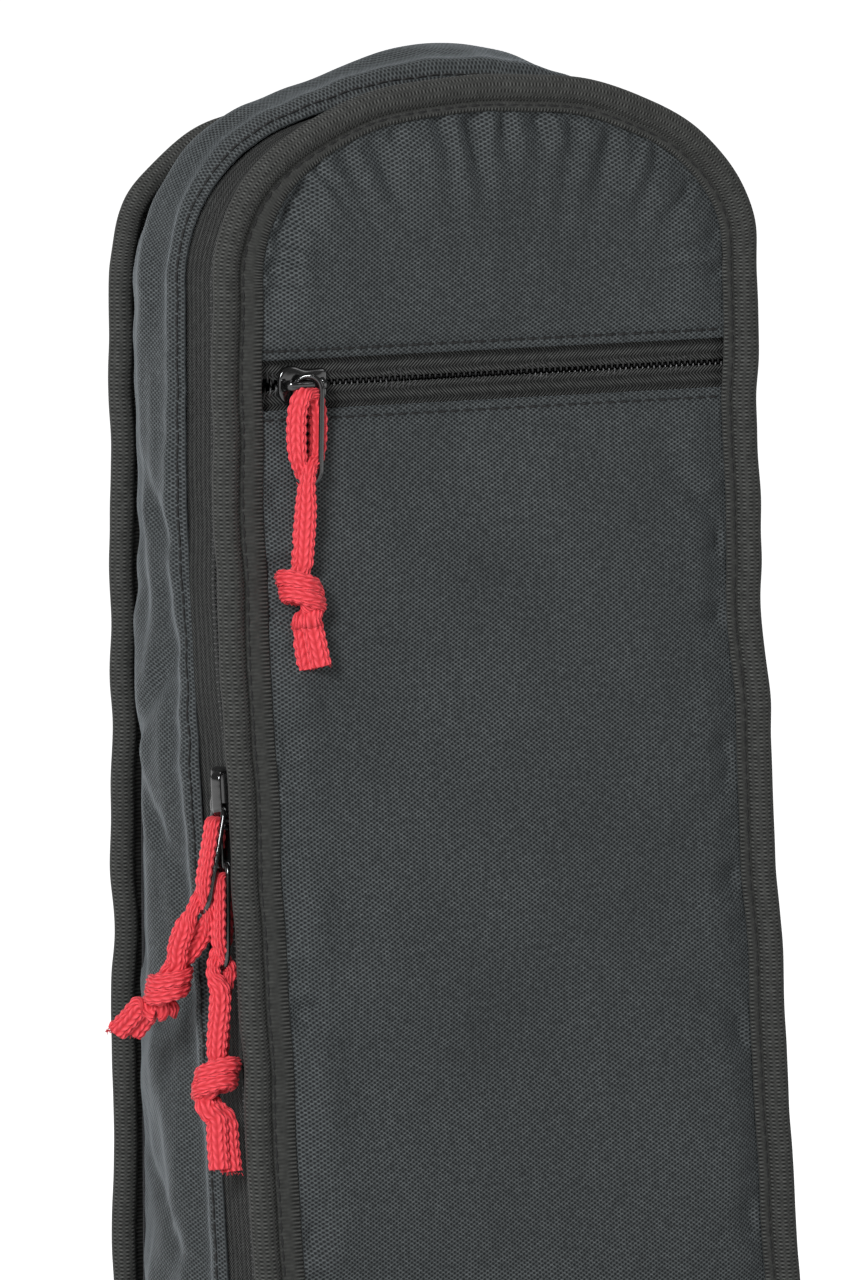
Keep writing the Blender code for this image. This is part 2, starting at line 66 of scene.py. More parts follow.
# Radii and bends of the outline, and depths behind the front face, as in the part.
CROWN_RADIUS = 0.115
CORNER_RADIUS = 0.040
BASE_RADIUS = 0.012
UPPER_BEND_Z = 0.445
LOWER_BEND_Z = 0.150
BEND_SOFTNESS = 0.008
BINDING_PROUD = 3.0 * MM
TAPE_INSET = 3.3 * MM
TAPE_THICKNESS = 0.6 * MM
ZIP_BACK = 6.3 * MM
HALF_TAPE = 14.7 * MM
POCKET_ZIP_Z = 0.474
POCKET_EDGE = 6.1 * MM
PANEL_INSET = 5.2 * MM
ROLL_WIDTH = 5.75 * MM
STITCH_INSET = 1.4 * MM
FRONT_STRIPS = (5.9, 2.9, 2.4)
THREAD_PITCH = 3.2 * MM
THREAD_LENGTH = 2.7 * MM
COIL_PITCH = 1.4 * MM
WIRE_RADIUS = 0.6 * MM
SLIDER_LENGTH = 11.6 * MM
PLATE_THICKNESS = 1.2 * MM
SLIDER_TURN = math.radians(28)
POCKET_PULL_TURN = math.radians(-34)
GATHERED_FROM_Z = 0.497
ZIP_BULGE = 0.8 * MM
ZIP_BULGE_Z = 0.419
ZIP_BULGE_REACH = 0.019
BASE_EDGE_Z = 5 * MM
CLOTH_START = 19.6 * MM
CLOTH_INSET = 2.6 * MM
VALLEY_INSET = 6.4 * MM

# Knitted cord: the stitches' rows, columns round it, slant and height.
STITCH_PITCH = 2.0 * MM
STITCH_COLUMNS = 6
STITCH_SLANT = 1.5
STITCH_HEIGHT = 0.42 * MM

# Camera and surroundings. A glow is a smooth step: its start, its end, and the strengths there.
CAMERA_AIM = Vector((-0.0106, 0.0, 0.4151))
CAMERA_AZIMUTH = math.radians(-26.5)
CAMERA_ELEVATION = math.radians(7.7)
CAMERA_DISTANCE = 2.0
CAMERA_LENS = 256.2
SKY_GLOW = (0.02, 0.14, 1.0, 0.12)
FLOOR_GLOW = (1.8, 2.6, 0.12, 0.98)
FLOOR_GLOW_CENTRE = (0.0, -1.5, 0.0)
FLOOR_HALF = 60
LIT_PLACE = (0, 0, 0.38)

# Places that the frame gives.
HALF_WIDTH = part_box("front_binding")[1].x
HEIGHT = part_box("front_binding")[1].z
BACK_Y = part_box("back_panel")[1].y
BACK_TOP_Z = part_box("back_binding")[1].z
FACE_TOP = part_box("front_panel_upper")[0].y
FACE_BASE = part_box("front_binding")[0].y + BINDING_PROUD
JOINTS = {joint["name"]: Vector(joint["pos_m"]) for joint in frame["joints"] if joint["type"] == "hinge"}

CORNER_X = HALF_WIDTH - CORNER_RADIUS
CROWN_Z = HEIGHT - CROWN_RADIUS
CORNER_Z = CROWN_Z + math.sqrt((CROWN_RADIUS - CORNER_RADIUS) ** 2 - CORNER_X**2)
CORNER_ANGLE = math.atan2(CORNER_Z - CROWN_Z, CORNER_X)
FRONT_LEAN = (FACE_TOP - FACE_BASE) / (UPPER_BEND_Z - LOWER_BEND_Z)
LEAN_UP = Vector((0, FRONT_LEAN, 1)).normalized()


# ---------------------------------------------------------------- camera and light


def camera():
    """The camera looks from the front left and a little above, at the upper part of the bag."""
    level = math.cos(CAMERA_ELEVATION)
    back = Vector(
        (math.sin(CAMERA_AZIMUTH) * level, -math.cos(CAMERA_AZIMUTH) * level, math.sin(CAMERA_ELEVATION))
    )
    data = bpy.data.cameras.new("camera")
    data.sensor_width = 36
    data.lens = CAMERA_LENS
    data.clip_start = 0.05
    data.clip_end = 50
    made = bpy.data.objects.new("camera", data)
    bpy.context.scene.collection.objects.link(made)
    made.rotation_mode = "QUATERNION"
    made.location = CAMERA_AIM + back * CAMERA_DISTANCE
    made.rotation_quaternion = (-back).to_track_quat("-Z", "Y")
    bpy.context.scene.camera = made


def area_light(name, place, target, size, power, colour=(1, 1, 1)):
    data = bpy.data.lights.new(name, "AREA")
    data.shape = "RECTANGLE"
    data.size, data.size_y = size
    data.energy = power
    data.color = colour
    made = bpy.data.objects.new(name, data)
    bpy.context.scene.collection.objects.link(made)
    made.location = place
    made.rotation_mode = "QUATERNION"
    made.rotation_quaternion = (Vector(target) - Vector(place)).to_track_quat("-Z", "Y")


def ramped(tree, value, ends):
    """A smooth step of a value. The ends are its start, its end, and the results there."""
    ramp = tree.nodes.new("ShaderNodeMapRange")
    ramp.interpolation_type = "SMOOTHSTEP"
    for socket, number in zip(ramp.inputs[1:5], ends):
        socket.default_value = number
    tree.links.new(value, ramp.inputs[0])
    return ramp.outputs[0]


def studio():
    """Surroundings that are white near the horizon, a wide key from the front left, and a pale floor."""
    world = bpy.data.worlds.new("studio")
    bpy.context.scene.world = world
    world.use_nodes = True
    tree = world.node_tree
    shader = tree.nodes["Background"]
    shader.inputs["Color"].default_value = (1, 1, 1, 1)
    direction = tree.nodes.new("ShaderNodeTexCoord")
    parts = tree.nodes.new("ShaderNodeSeparateXYZ")
    tree.links.new(direction.outputs["Generated"], parts.inputs[0])
    tree.links.new(ramped(tree, parts.outputs[2], SKY_GLOW), shader.inputs["Strength"])
    bpy.context.scene.view_settings.view_transform = "Standard"
    area_light("key", (-1.4, -1.2, 1.35), LIT_PLACE, (0.5, 0.7), 38, (0.97, 0.98, 1.0))
    area_light("front_fill", (1.25, -1.5, 1.5), LIT_PLACE, (0.9, 0.9), 5)
    area_light("top", (0.1, 0.2, 1.7), LIT_PLACE, (0.6, 0.6), 5)
    mesh = bpy.data.meshes.new("floor")
    body = bmesh.new()
    bmesh.ops.create_grid(body, x_segments=8, y_segments=8, size=FLOOR_HALF)
    body.to_mesh(mesh)
    body.free()
    floor = bpy.data.objects.new("floor", mesh)
    bpy.context.scene.collection.objects.link(floor)
    pale = Finish("floor", 0.8)
    pale.set("Base Color", (0.8, 0.8, 0.8, 1))
    pale.set("Emission Color", (1, 1, 1, 1))
    place = pale.tree.nodes.new("ShaderNodeTexCoord")
    distance = pale.tree.nodes.new("ShaderNodeVectorMath")
    distance.operation = "DISTANCE"
    distance.inputs[1].default_value = FLOOR_GLOW_CENTRE
    pale.tree.links.new(place.outputs["Object"], distance.inputs[0])
    glow = ramped(pale.tree, distance.outputs["Value"], FLOOR_GLOW)
    pale.tree.links.new(glow, pale.shader.inputs["Emission Strength"])
    mesh.materials.append(pale.material)


# ---------------------------------------------------------------- materials


class Finish:
    """A material with a small set of node helpers. Inputs may be numbers or other nodes' outputs."""

    def __init__(self, name, roughness, specular=0.5):
        self.material = bpy.data.materials.new(name)
        self.material.use_nodes = True
        self.tree = self.material.node_tree
        self.shader = self.tree.nodes["Principled BSDF"]
        self.set("Roughness", roughness)
        self.set("Specular IOR Level", specular)

    def set(self, socket, value):
        self.shader.inputs[socket].default_value = value

    def sheen(self, weight, roughness, tint):
        self.set("Sheen Weight", weight)
        self.set("Sheen Roughness", roughness)
        self.set("Sheen Tint", (*tint, 1.0))

    def put(self, source, socket):
        if isinstance(source, (int, float)):
            socket.default_value = source
        else:
            self.tree.links.new(source, socket)

    def math(self, operation, *values):
        node = self.tree.nodes.new("ShaderNodeMath")
        node.operation = operation
        for value, socket in zip(values, node.inputs):
            self.put(value, socket)
        return node.outputs[0]

    def cloth(self):
        """The surface's own coordinates in millimetres: across and along."""
        node = self.tree.nodes.new("ShaderNodeAttribute")
        node.attribute_name = "cloth"
        parts = self.tree.nodes.new("ShaderNodeSeparateXYZ")
        self.tree.links.new(node.outputs["Vector"], parts.inputs[0])
        return parts.outputs[0], parts.outputs[1]

    def wave(self, value, pitch, shift=0.0):
        """A sine of a length, with a pitch in the same unit."""
        turned = self.math("MULTIPLY_ADD", value, 2 * math.pi / pitch, shift)
        return self.math("SINE", turned)

    def half_wave(self, value):
        """A value between -1 and 1, brought between 0 and 1."""
        return self.math("MULTIPLY_ADD", value, 0.5, 0.5)

    def specked(self, value, scale):
        """A value made uneven from yarn to yarn."""
        return self.math("MULTIPLY", value, self.math("MULTIPLY_ADD", self.noise(scale, 3.0), 0.9, 0.55))

    def noise(self, scale, detail):
        place = self.tree.nodes.new("ShaderNodeTexCoord")
        made = self.tree.nodes.new("ShaderNodeTexNoise")
        made.inputs["Scale"].default_value = scale
        made.inputs["Detail"].default_value = detail
        self.tree.links.new(place.outputs["Object"], made.inputs["Vector"])
        return made.outputs["Fac"]

    def blend(self, factor, low, high):
        """A colour between two, by a factor."""
        node = self.tree.nodes.new("ShaderNodeMix")
        node.data_type = "RGBA"
        self.put(factor, node.inputs[0])
        node.inputs[6].default_value = (*low, 1.0)
        node.inputs[7].default_value = (*high, 1.0)
        return node.outputs[2]

    def colour(self, source):
        self.tree.links.new(source, self.shader.inputs["Base Color"])

    def bump(self, height, distance):
        node = self.tree.nodes.new("ShaderNodeBump")
        node.inputs["Distance"].default_value = distance
        self.tree.links.new(height, node.inputs["Height"])
        self.tree.links.new(node.outputs[0], self.shader.inputs["Normal"])


def woven(name, trough, crest, warp_pitch, weft_pitch, roughness, depth, sheen):
    """Plain weave: yarns that cross over and under, with dots offset by half in alternate columns. Its colour
    is the yarns' own, with painted shade in the hollows and painted highlight on the dots.
    """
    made = Finish(name, roughness, specular=0.22)
    made.sheen(*sheen)
    across, along = made.cloth()
    crossing = made.math("MULTIPLY", made.wave(across, 2 * warp_pitch), made.wave(along, weft_pitch))
    warp = made.wave(across, warp_pitch, QUARTER_TURN)
    cords = made.math("MULTIPLY_ADD", warp, 0.12, made.half_wave(crossing))
    uneven = made.specked(cords, 900)
    sharp = made.math("POWER", made.math("MAXIMUM", uneven, 0.0), 1.9)
    broad = made.math("MULTIPLY_ADD", made.noise(26, 3.0), 0.5, 0.75)
    # Painted shade and highlight: the colour runs from dark where the weave is low to light on the raised
    # dots, following the bump's heights; broad adds random tone.
    made.colour(made.blend(made.math("MULTIPLY", sharp, broad), trough, crest))
    made.bump(uneven, depth)
    return made.material


def ribbed(name, low, high, rib, yarn, roughness):
    """Grosgrain: ribs across the tape, bound by yarns that cross them. rib and yarn are their pitches. Its
    colour is darker in the hollows as painted shade.
    """
    made = Finish(name, roughness, specular=0.15)
    made.sheen(0.05, 0.5, (0.9, 0.9, 0.88))
    across, along = made.cloth()
    ribs = made.wave(along, rib)
    seeds = made.half_wave(made.math("MULTIPLY", made.wave(across, 2 * yarn), ribs))
    mixed = made.math("MULTIPLY_ADD", made.half_wave(ribs), 0.4, made.math("MULTIPLY", seeds, 0.6))
    # Painted shade: the colour darkens where the ribs and yarns are low, following the bump's heights, over
    # the tape's own uneven tone.
    made.colour(made.blend(made.math("POWER", made.specked(mixed, 700), 1.5), low, high))
    made.bump(mixed, 0.16 * MM)
    return made.material


def herringbone(name, low, high, column, rib, roughness):
    """Zip tape: columns along its length whose ribs slant to one side and the other. Its colour is darker
    between the ribs as painted shade.
    """
    made = Finish(name, roughness, specular=0.08)
    across, along = made.cloth()
    slanted = made.math("ADD", along, made.math("PINGPONG", across, column))
    edges = made.math("MULTIPLY_ADD", made.wave(across, column, QUARTER_TURN), -0.2, 0.8)
    raised = made.math("MULTIPLY", made.half_wave(made.wave(slanted, rib)), edges)
    # Painted shade: the colour darkens where the ribs are low, following the bump's heights, over the tape's
    # own uneven tone.
    made.colour(made.blend(made.math("POWER", made.specked(raised, 800), 1.5), low, high))
    made.bump(raised, 0.14 * MM)
    return made.material


def lacquer(name):
    """Gloss black lacquer over cast or drawn metal, a little uneven."""
    made = Finish(name, 0.16, specular=0.7)
    made.set("Coat Weight", 0.8)
    made.set("Coat Roughness", 0.06)
    made.colour(made.blend(made.noise(500, 2.0), (0.003, 0.003, 0.003), (0.008, 0.008, 0.008)))
    made.bump(made.noise(400, 1.0), 0.004 * MM)
    return made.material


def moulded(name, low, high, roughness, depth):
    """Plain plastic or foam with a fine grain."""
    made = Finish(name, roughness)
    made.colour(made.blend(made.noise(600, 4.0), low, high))
    made.bump(made.noise(1500, 3.0), depth)
    return made.material


def knitted():
    """Coral red knitted cord. Its cloth values are columns of stitches round it, and rows along it. Its
    colour is darker between the stitches as painted shade.
    """
    made = Finish("red_cord", 0.6, specular=0.3)
    made.sheen(0.15, 0.4, (1.0, 0.55, 0.55))
    columns, rows = made.cloth()
    column = made.math("SUBTRACT", made.math("FRACT", columns), 0.5)
    leg = made.math("ABSOLUTE", made.math("SINE", made.math("MULTIPLY", column, 2 * math.pi)))
    slant = made.math("MULTIPLY", made.math("ABSOLUTE", column), STITCH_SLANT)
    turned = made.math("MULTIPLY", made.math("SUBTRACT", rows, slant), 2 * math.pi)
    row = made.half_wave(made.math("COSINE", turned))
    height = made.math("MULTIPLY", leg, made.math("MULTIPLY_ADD", row, 0.7, 0.3))
    fibres = made.math("ADD", made.math("MULTIPLY", rows, 3.0), made.math("MULTIPLY", column, 11.0))
    strands = made.math("MULTIPLY_ADD", made.wave(fibres, 0.55), 0.10, 0.95)
    patches = made.math("MULTIPLY_ADD", made.noise(900, 2.0), 0.4, 0.8)
    # Painted shade: the stitches' heights darken the red between stitches and rows; patches add random tone,
    # and the same value gives the bump.
    stitch_shade_and_mottle = made.math("MULTIPLY", made.math("MULTIPLY", height, strands), patches)
    made.colour(made.blend(made.math("POWER", stitch_shade_and_mottle, 0.8), (0.46, 0.012, 0.018), (1.0, 0.098, 0.125)))
    made.bump(stitch_shade_and_mottle, 0.15 * MM)
    return made.material


# Pitches of weaves are in millimetres, as the cloth values are.
# In the weaves, the dark colours (trough, low) are painted shade between the yarns; the light ones (crest,
# high) are the yarns' own tone, and on the woven cloths also painted highlight on the dots.
FINISHES = {
    "oxford_cloth": woven(
        "oxford_cloth",
        trough=(0.0060, 0.0072, 0.0078),
        crest=(0.108, 0.120, 0.122),
        warp_pitch=0.70,
        weft_pitch=0.95,
        roughness=0.62,
        depth=0.16 * MM,
        sheen=(0.22, 0.35, (0.86, 0.94, 1.0)),
    ),
    "lining_cloth": woven(
        "lining_cloth",
        trough=(0.008, 0.008, 0.009),
        crest=(0.040, 0.042, 0.044),
        warp_pitch=0.45,
        weft_pitch=0.45,
        roughness=0.7,
        depth=0.08 * MM,
        sheen=(0.10, 0.5, (0.9, 0.9, 0.95)),
    ),
    "grosgrain_binding": ribbed(
        "grosgrain_binding",
        low=(0.006, 0.006, 0.0055),
        high=(0.092, 0.094, 0.088),
        rib=0.86,
        yarn=0.75,
        roughness=0.75,
    ),
    "webbing": ribbed(
        "webbing",
        low=(0.010, 0.010, 0.010),
        high=(0.080, 0.080, 0.076),
        rib=1.4,
        yarn=1.1,
        roughness=0.7,
    ),
    "zip_tape": herringbone(
        "zip_tape",
        low=(0.005, 0.005, 0.005),
        high=(0.100, 0.102, 0.098),
        column=2.2,
        rib=0.80,
        roughness=0.75,
    ),
    "zip_coil": moulded("zip_coil", (0.012, 0.012, 0.012), (0.030, 0.030, 0.030), 0.32, 0.01 * MM),
    "foam": moulded("foam", (0.24, 0.24, 0.24), (0.34, 0.34, 0.34), 0.95, 0.2 * MM),
    "base_board": moulded("base_board", (0.02, 0.02, 0.02), (0.035, 0.035, 0.035), 0.5, 0.03 * MM),
    "slider_metal": lacquer("slider_metal"),
    "puller_wire": lacquer("puller_wire"),
    "red_cord": knitted(),
    "thread": moulded("thread", (0.003, 0.003, 0.003), (0.014, 0.014, 0.014), 0.8, 0.02 * MM),
}


# ---------------------------------------------------------------- outline


def arc(centre_x, centre_z, radius, start, end, step):
    count = max(3, round(radius * abs(end - start) / step))
    angle = np.linspace(start, end, count + 1)
    out_x, out_z = np.cos(angle), np.sin(angle)
    return np.column_stack((centre_x + radius * out_x, centre_z + radius * out_z, out_x, out_z))


def straight(start, end, outward, step):
    (x0, z0), (x1, z1) = start, end
    count = max(2, round(math.hypot(x1 - x0, z1 - z0) / step))
    share = np.linspace(0, 1, count + 1)
    ones = np.ones_like(share)
    return np.column_stack(
        (x0 + (x1 - x0) * share, z0 + (z1 - z0) * share, outward[0] * ones, outward[1] * ones)
    )


def outline(step, closed=False):
    """Stations (x, z, outward x, outward z) up the left side, over the crown and down, and their arc length.

    An open outline runs from one end of the flat base to the other. A closed one goes along the base too.
    """
    base_x = HALF_WIDTH - BASE_RADIUS
    right = [
        arc(0, CROWN_Z, CROWN_RADIUS, math.pi / 2, CORNER_ANGLE, step),
        arc(CORNER_X, CORNER_Z, CORNER_RADIUS, CORNER_ANGLE, 0, step)[1:],
        straight((HALF_WIDTH, CORNER_Z), (HALF_WIDTH, BASE_RADIUS), (1, 0), step)[1:],
        arc(base_x, BASE_RADIUS, BASE_RADIUS, 0, -math.pi / 2, step)[1:],
    ]
    if closed:
        right.append(straight((base_x, 0), (0, 0), (0, -1), step)[1:])
    right = np.vstack(right)
    left = right[:0:-1] * (-1, 1, -1, 1)
    stations = np.vstack((left, right))
    if closed:
        stations = stations[:-1]
    return stations, lengths(stations[:, :2])


def lengths(points):
    """Distance along a line of points, from its first."""
    steps = np.linalg.norm(np.diff(points, axis=0), axis=1)
    return np.concatenate(([0.0], np.cumsum(steps)))


def front_y(z):
    """Outer face of the front at a height, with its two bends rounded."""
    above = np.logaddexp(0, (UPPER_BEND_Z - z) / BEND_SOFTNESS)
    below = np.logaddexp(0, (LOWER_BEND_Z - z) / BEND_SOFTNESS)
    return FACE_TOP - FRONT_LEAN * BEND_SOFTNESS * (above - below)


def lowered(z, drop):
    """Height of a station when the crown has come down by a drop."""
    return z - drop * np.maximum(0.0, z - CORNER_Z) / (HEIGHT - CORNER_Z)


def wall_points(stations, y, inset):
    """Points of the side and top wall, at depths y and insets from the outline."""
    x, z, out_x, out_z = stations.T
    front = front_y(z)
    share = (y - front) / (BACK_Y - front)
    top = lowered(z, (HEIGHT - BACK_TOP_Z) * share)
    return np.stack((x - out_x * inset, y * np.ones_like(x), top - out_z * inset), -1)


def crown_z(x, inset):
    """Height of the outline over a place across, at an inset."""
    crown, corner = CROWN_RADIUS - inset, CORNER_RADIUS - inset
    meet = CORNER_X + corner * math.cos(CORNER_ANGLE)
    over = CROWN_Z + np.sqrt(np.maximum(crown**2 - x**2, 0))
    round_corner = CORNER_Z + np.sqrt(np.maximum(corner**2 - (np.abs(x) - CORNER_X) ** 2, 0))
    return np.where(np.abs(x) < meet, over, round_corner)


def hump(value, width):
    """1 where a value is 0, falling away on both sides of it within about a width."""
    return np.exp(-((value / width) ** 2))


def decay(value, width):
    """Falls from 1 at 0, by a factor of e for each width."""
    return np.exp(-value / width)


def fill(value, width):
    """Rises from 0 at 0, and nears 1 after a few widths."""
    return 1 - np.exp(-value / width)


def waves(seed, count, shortest, longest):
    """A smooth random function of a length, mostly between -1 and 1."""
    rng = np.random.default_rng(seed)
    pitches = rng.uniform(shortest, longest, count)
    shifts = rng.uniform(0, 2 * math.pi, count)

    def value(s):
        return sum(np.sin(2 * math.pi * s / p + q) for p, q in zip(pitches, shifts)) / math.sqrt(count)

    return value


def ripples(seed, count, shortest, longest):
    """A smooth random function of a place on a surface, mostly between -1 and 1."""
    rng = np.random.default_rng(seed)
    pitches = rng.uniform(shortest, longest, count)
    turns = rng.uniform(0, math.pi, count)
    shifts = rng.uniform(0, 2 * math.pi, count)

    def value(u, v):
        total = 0
        for pitch, turn, shift in zip(pitches, turns, shifts):
            total = total + np.sin(2 * math.pi * (u * math.cos(turn) + v * math.sin(turn)) / pitch + shift)
        return total / math.sqrt(count)

    return value


# ---------------------------------------------------------------- building


def finished(name, mesh, finish, inside=None):
    """An object with its finish. Thread is the only finish that the record has no slot for."""
    piece = bpy.data.objects.new(name, mesh)
    bpy.context.scene.collection.objects.link(piece)
    mesh.materials.append(FINISHES[finish])
    if inside:
        mesh.materials.append(FINISHES[inside])
    return piece


def mesh_of(name, points, faces, cloth):
    """A smooth mesh with its cloth attribute."""
    mesh = bpy.data.meshes.new(name)
    corners = faces if isinstance(faces, list) else faces.tolist()
    mesh.from_pydata(np.asarray(points).reshape(-1, 3).tolist(), [], corners)
    attribute = mesh.attributes.new("cloth", "FLOAT_VECTOR", "POINT")
    attribute.data.foreach_set("vector", np.asarray(cloth, np.float32).ravel())
    mesh.shade_smooth()
    return mesh


def grid_faces(rows, columns, close_rows=False, close_columns=False):
    index = np.arange(rows * columns).reshape(rows, columns)
    if close_rows:
        index = np.vstack((index, index[:1]))
    if close_columns:
        index = np.hstack((index, index[:, :1]))
    corners = (index[:-1, :-1], index[1:, :-1], index[1:, 1:], index[:-1, 1:])
    return np.stack(corners, -1).reshape(-1, 4)


def outward_faces(points, faces):
    """The same faces, turned so that they look away from the middle of the bag."""
    flat = points.reshape(-1, 3)
    middle = np.array((0.0, 0.5 * (FACE_TOP + BACK_Y), 0.5 * HEIGHT))
    corner = flat[faces]
    normal = np.cross(corner[:, 2] - corner[:, 0], corner[:, 3] - corner[:, 1])
    facing = np.einsum("ij,ij->i", normal, corner.mean(1) - middle).sum()
    return faces if facing > 0 else faces[:, ::-1]


def sheet(name, points, cloth, finish, thickness, inside=None):
    """A cloth surface through a grid of points, thickened inwards."""
    faces = outward_faces(points, grid_faces(*points.shape[:2]))
    piece = finished(name, mesh_of(name, points, faces, cloth), finish, inside)
    solid = piece.modifiers.new("thickness", "SOLIDIFY")
    solid.thickness = thickness
    solid.offset = -1.0
    if inside:
        solid.material_offset = 1
    return piece


def surface_cloth(across, along):
    """Cloth coordinates in millimetres, from distances in metres. The third value stays 0."""
    across, along = np.broadcast_arrays(across, along)
    return np.stack((across / MM, along / MM, np.zeros(across.shape)), -1)


def unit(vectors):
    return vectors / np.maximum(np.linalg.norm(vectors, axis=-1, keepdims=True), 1e-12)


def smooth_route(controls, step):
    """A curve through rows of controls at equal steps. The first three columns are the place."""
    controls = np.asarray(controls, float)
    spans = np.linalg.norm(np.diff(controls[:, :3], axis=0), axis=1) ** 0.5
    knots = np.concatenate(([0.0], np.cumsum(spans)))
    ends = (2 * controls[0] - controls[1], 2 * controls[-1] - controls[-2])
    padded = np.vstack((ends[0], controls, ends[1]))
    times = np.concatenate(([2 * knots[0] - knots[1]], knots, [2 * knots[-1] - knots[-2]]))
    fine = []
    for i in range(1, len(padded) - 2):
        t0, t1, t2, t3 = times[i - 1 : i + 3]
        p0, p1, p2, p3 = padded[i - 1 : i + 3]
        t = np.linspace(t1, t2, 24, endpoint=False)[:, None]
        a1 = (t1 - t) / (t1 - t0) * p0 + (t - t0) / (t1 - t0) * p1
        a2 = (t2 - t) / (t2 - t1) * p1 + (t - t1) / (t2 - t1) * p2
        a3 = (t3 - t) / (t3 - t2) * p2 + (t - t2) / (t3 - t2) * p3
        b1 = (t2 - t) / (t2 - t0) * a1 + (t - t0) / (t2 - t0) * a2
        b2 = (t3 - t) / (t3 - t1) * a2 + (t - t1) / (t3 - t1) * a3
        fine.append((t2 - t) / (t2 - t1) * b1 + (t - t1) / (t2 - t1) * b2)
    fine = np.vstack([*fine, controls[-1:]])
    distance = lengths(fine[:, :3])
    wanted = np.linspace(0, distance[-1], max(4, round(distance[-1] / step)))
    return np.column_stack([np.interp(wanted, distance, column) for column in fine.T])


def swept(route, sides, half_width, half_thickness, around, relief=None, closed=False, fullness=0.8):
    """Points and faces of a tube along a route. sides is the direction of its width at each point.

    relief(turn, along) gives a height to add, where turn runs from 0 to 1 round the tube.
    """
    onward = np.roll(route, -1, 0) - np.roll(route, 1, 0) if closed else np.gradient(route, axis=0)
    heading = unit(onward)
    side = unit(sides - heading * np.sum(sides * heading, 1, keepdims=True))
    face = np.cross(heading, side)
    turn = np.arange(around) / around
    angle = 2 * math.pi * turn
    wide = np.sign(np.cos(angle)) * np.abs(np.cos(angle)) ** fullness
    deep = np.sign(np.sin(angle)) * np.abs(np.sin(angle)) ** fullness
    half_width = np.broadcast_to(half_width, len(route))[:, None]
    half_thickness = np.broadcast_to(half_thickness, len(route))[:, None]
    along = lengths(route)[:, None]
    added = relief(turn[None, :], along) if relief else 0.0
    out = wide[None, :, None] * side[:, None] * (half_width + added)[..., None]
    out = out + deep[None, :, None] * face[:, None] * (half_thickness + added)[..., None]
    points = route[:, None] + out
    faces = grid_faces(len(route), around, close_rows=closed, close_columns=True)
    if relief:
        cloth = surface_cloth(turn[None, :] * STITCH_COLUMNS * MM, along * MM / STITCH_PITCH)
    else:
        cloth = surface_cloth(turn[None, :] * 2 * math.pi * half_width, along)
    return points, faces, cloth


class Heap:
    """Several small shapes gathered into one mesh."""

    def __init__(self):
        self.points, self.faces, self.cloth, self.count = [], [], [], 0

    def add(self, points, faces, cloth=None):
        points = np.asarray(points).reshape(-1, 3)
        self.points.append(points)
        self.faces += [[i + self.count for i in face] for face in np.asarray(faces).tolist()]
        self.cloth.append(np.zeros_like(points) if cloth is None else np.asarray(cloth).reshape(-1, 3))
        self.count += len(points)

    def tube(self, route, sides, half_width, half_thickness, around, **options):
        """A swept tube with its ends closed."""
        points, faces, cloth = swept(route, sides, half_width, half_thickness, around, **options)
        start = self.count
        self.add(points, faces, cloth)
        if not options.get("closed"):
            last = start + (len(route) - 1) * around
            self.faces.append(list(range(start + around - 1, start - 1, -1)))
            self.faces.append(list(range(last, last + around)))

    def made(self, name, finish):
        mesh = mesh_of(name, np.vstack(self.points), self.faces, np.vstack(self.cloth))
        body = bmesh.new()
        body.from_mesh(mesh)
        bmesh.ops.recalc_face_normals(body, faces=body.faces)
        body.to_mesh(mesh)
        body.free()
        return finished(name, mesh, finish)


def stitches(name, body, lines, radius=0.28 * MM):
    """Rows of single stitches. Each line is (points, outward directions)."""
    heap = Heap()
    for points, outward in lines:
        points, outward = np.asarray(points, float), unit(np.asarray(outward, float))
        distance = lengths(points)
        for start in np.arange(0.5 * THREAD_PITCH, distance[-1] - THREAD_LENGTH, THREAD_PITCH):
            at = np.linspace(start, start + THREAD_LENGTH, 5)
            route = np.column_stack([np.interp(at, distance, column) for column in points.T])
            out = unit(np.column_stack([np.interp(at, distance, column) for column in outward.T]))
            sunk = np.array((0.9, 0.1, -0.1, 0.1, 0.9))[:, None] * radius
            route = route - out * sunk
            side = np.cross(unit(np.gradient(route, axis=0)), out)
            heap.tube(route, side, radius * np.array((0.5, 1, 1.1, 1, 0.5)), radius, 6)
    piece = heap.made(name, "thread")
    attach(piece, body)


# ---------------------------------------------------------------- pull cords

CORD_FACING = Vector((-0.45, -0.89, 0.0))
HALF_THICKNESS = 1.1 * MM
FIBRE_RADIUS = 0.09 * MM
CORDS = {
    "pocket": {
        "knot": (-0.0028, -0.0022, -0.0226),
        "tails": (0.0028, -0.0012, -0.0170),
        "strand_gap": 0.0,
        "tail_gap": 0.5,
        "lean": math.radians(14),
        "fray": 10,
        "seed": 19,
        "length": 0.180,
    },
    "upper": {
        "knot": (-0.0040, 0.0085, -0.0165),
        "tails": (-0.006, 0.010, -0.012),
        "strand_gap": 1.9,
        "tail_gap": 0.8,
        "lean": math.radians(-16),
        "fray": 34,
        "seed": 18,
        "length": 0.175,
    },
    "lower": {
        "knot": (-0.0025, -0.0025, -0.0232),
        "tails": (0.0005, -0.0035, -0.0200),
        "strand_gap": 0.0,
        "tail_gap": 0.4,
        "lean": math.radians(10),
        "fray": 16,
        "seed": 18,
        "length": 0.190,
    },
}


def knit(turn, along):
    """Height of the V-shaped stitches round a knitted cord."""
    column = np.mod(turn * STITCH_COLUMNS, 1.0) - 0.5
    leg = np.sin(2 * math.pi * column) ** 2
    row = 0.5 + 0.5 * np.cos(2 * math.pi * (along / STITCH_PITCH - STITCH_SLANT * np.abs(column)))
    return STITCH_HEIGHT * np.sqrt(leg + 0.02) * (0.3 + 0.7 * row)


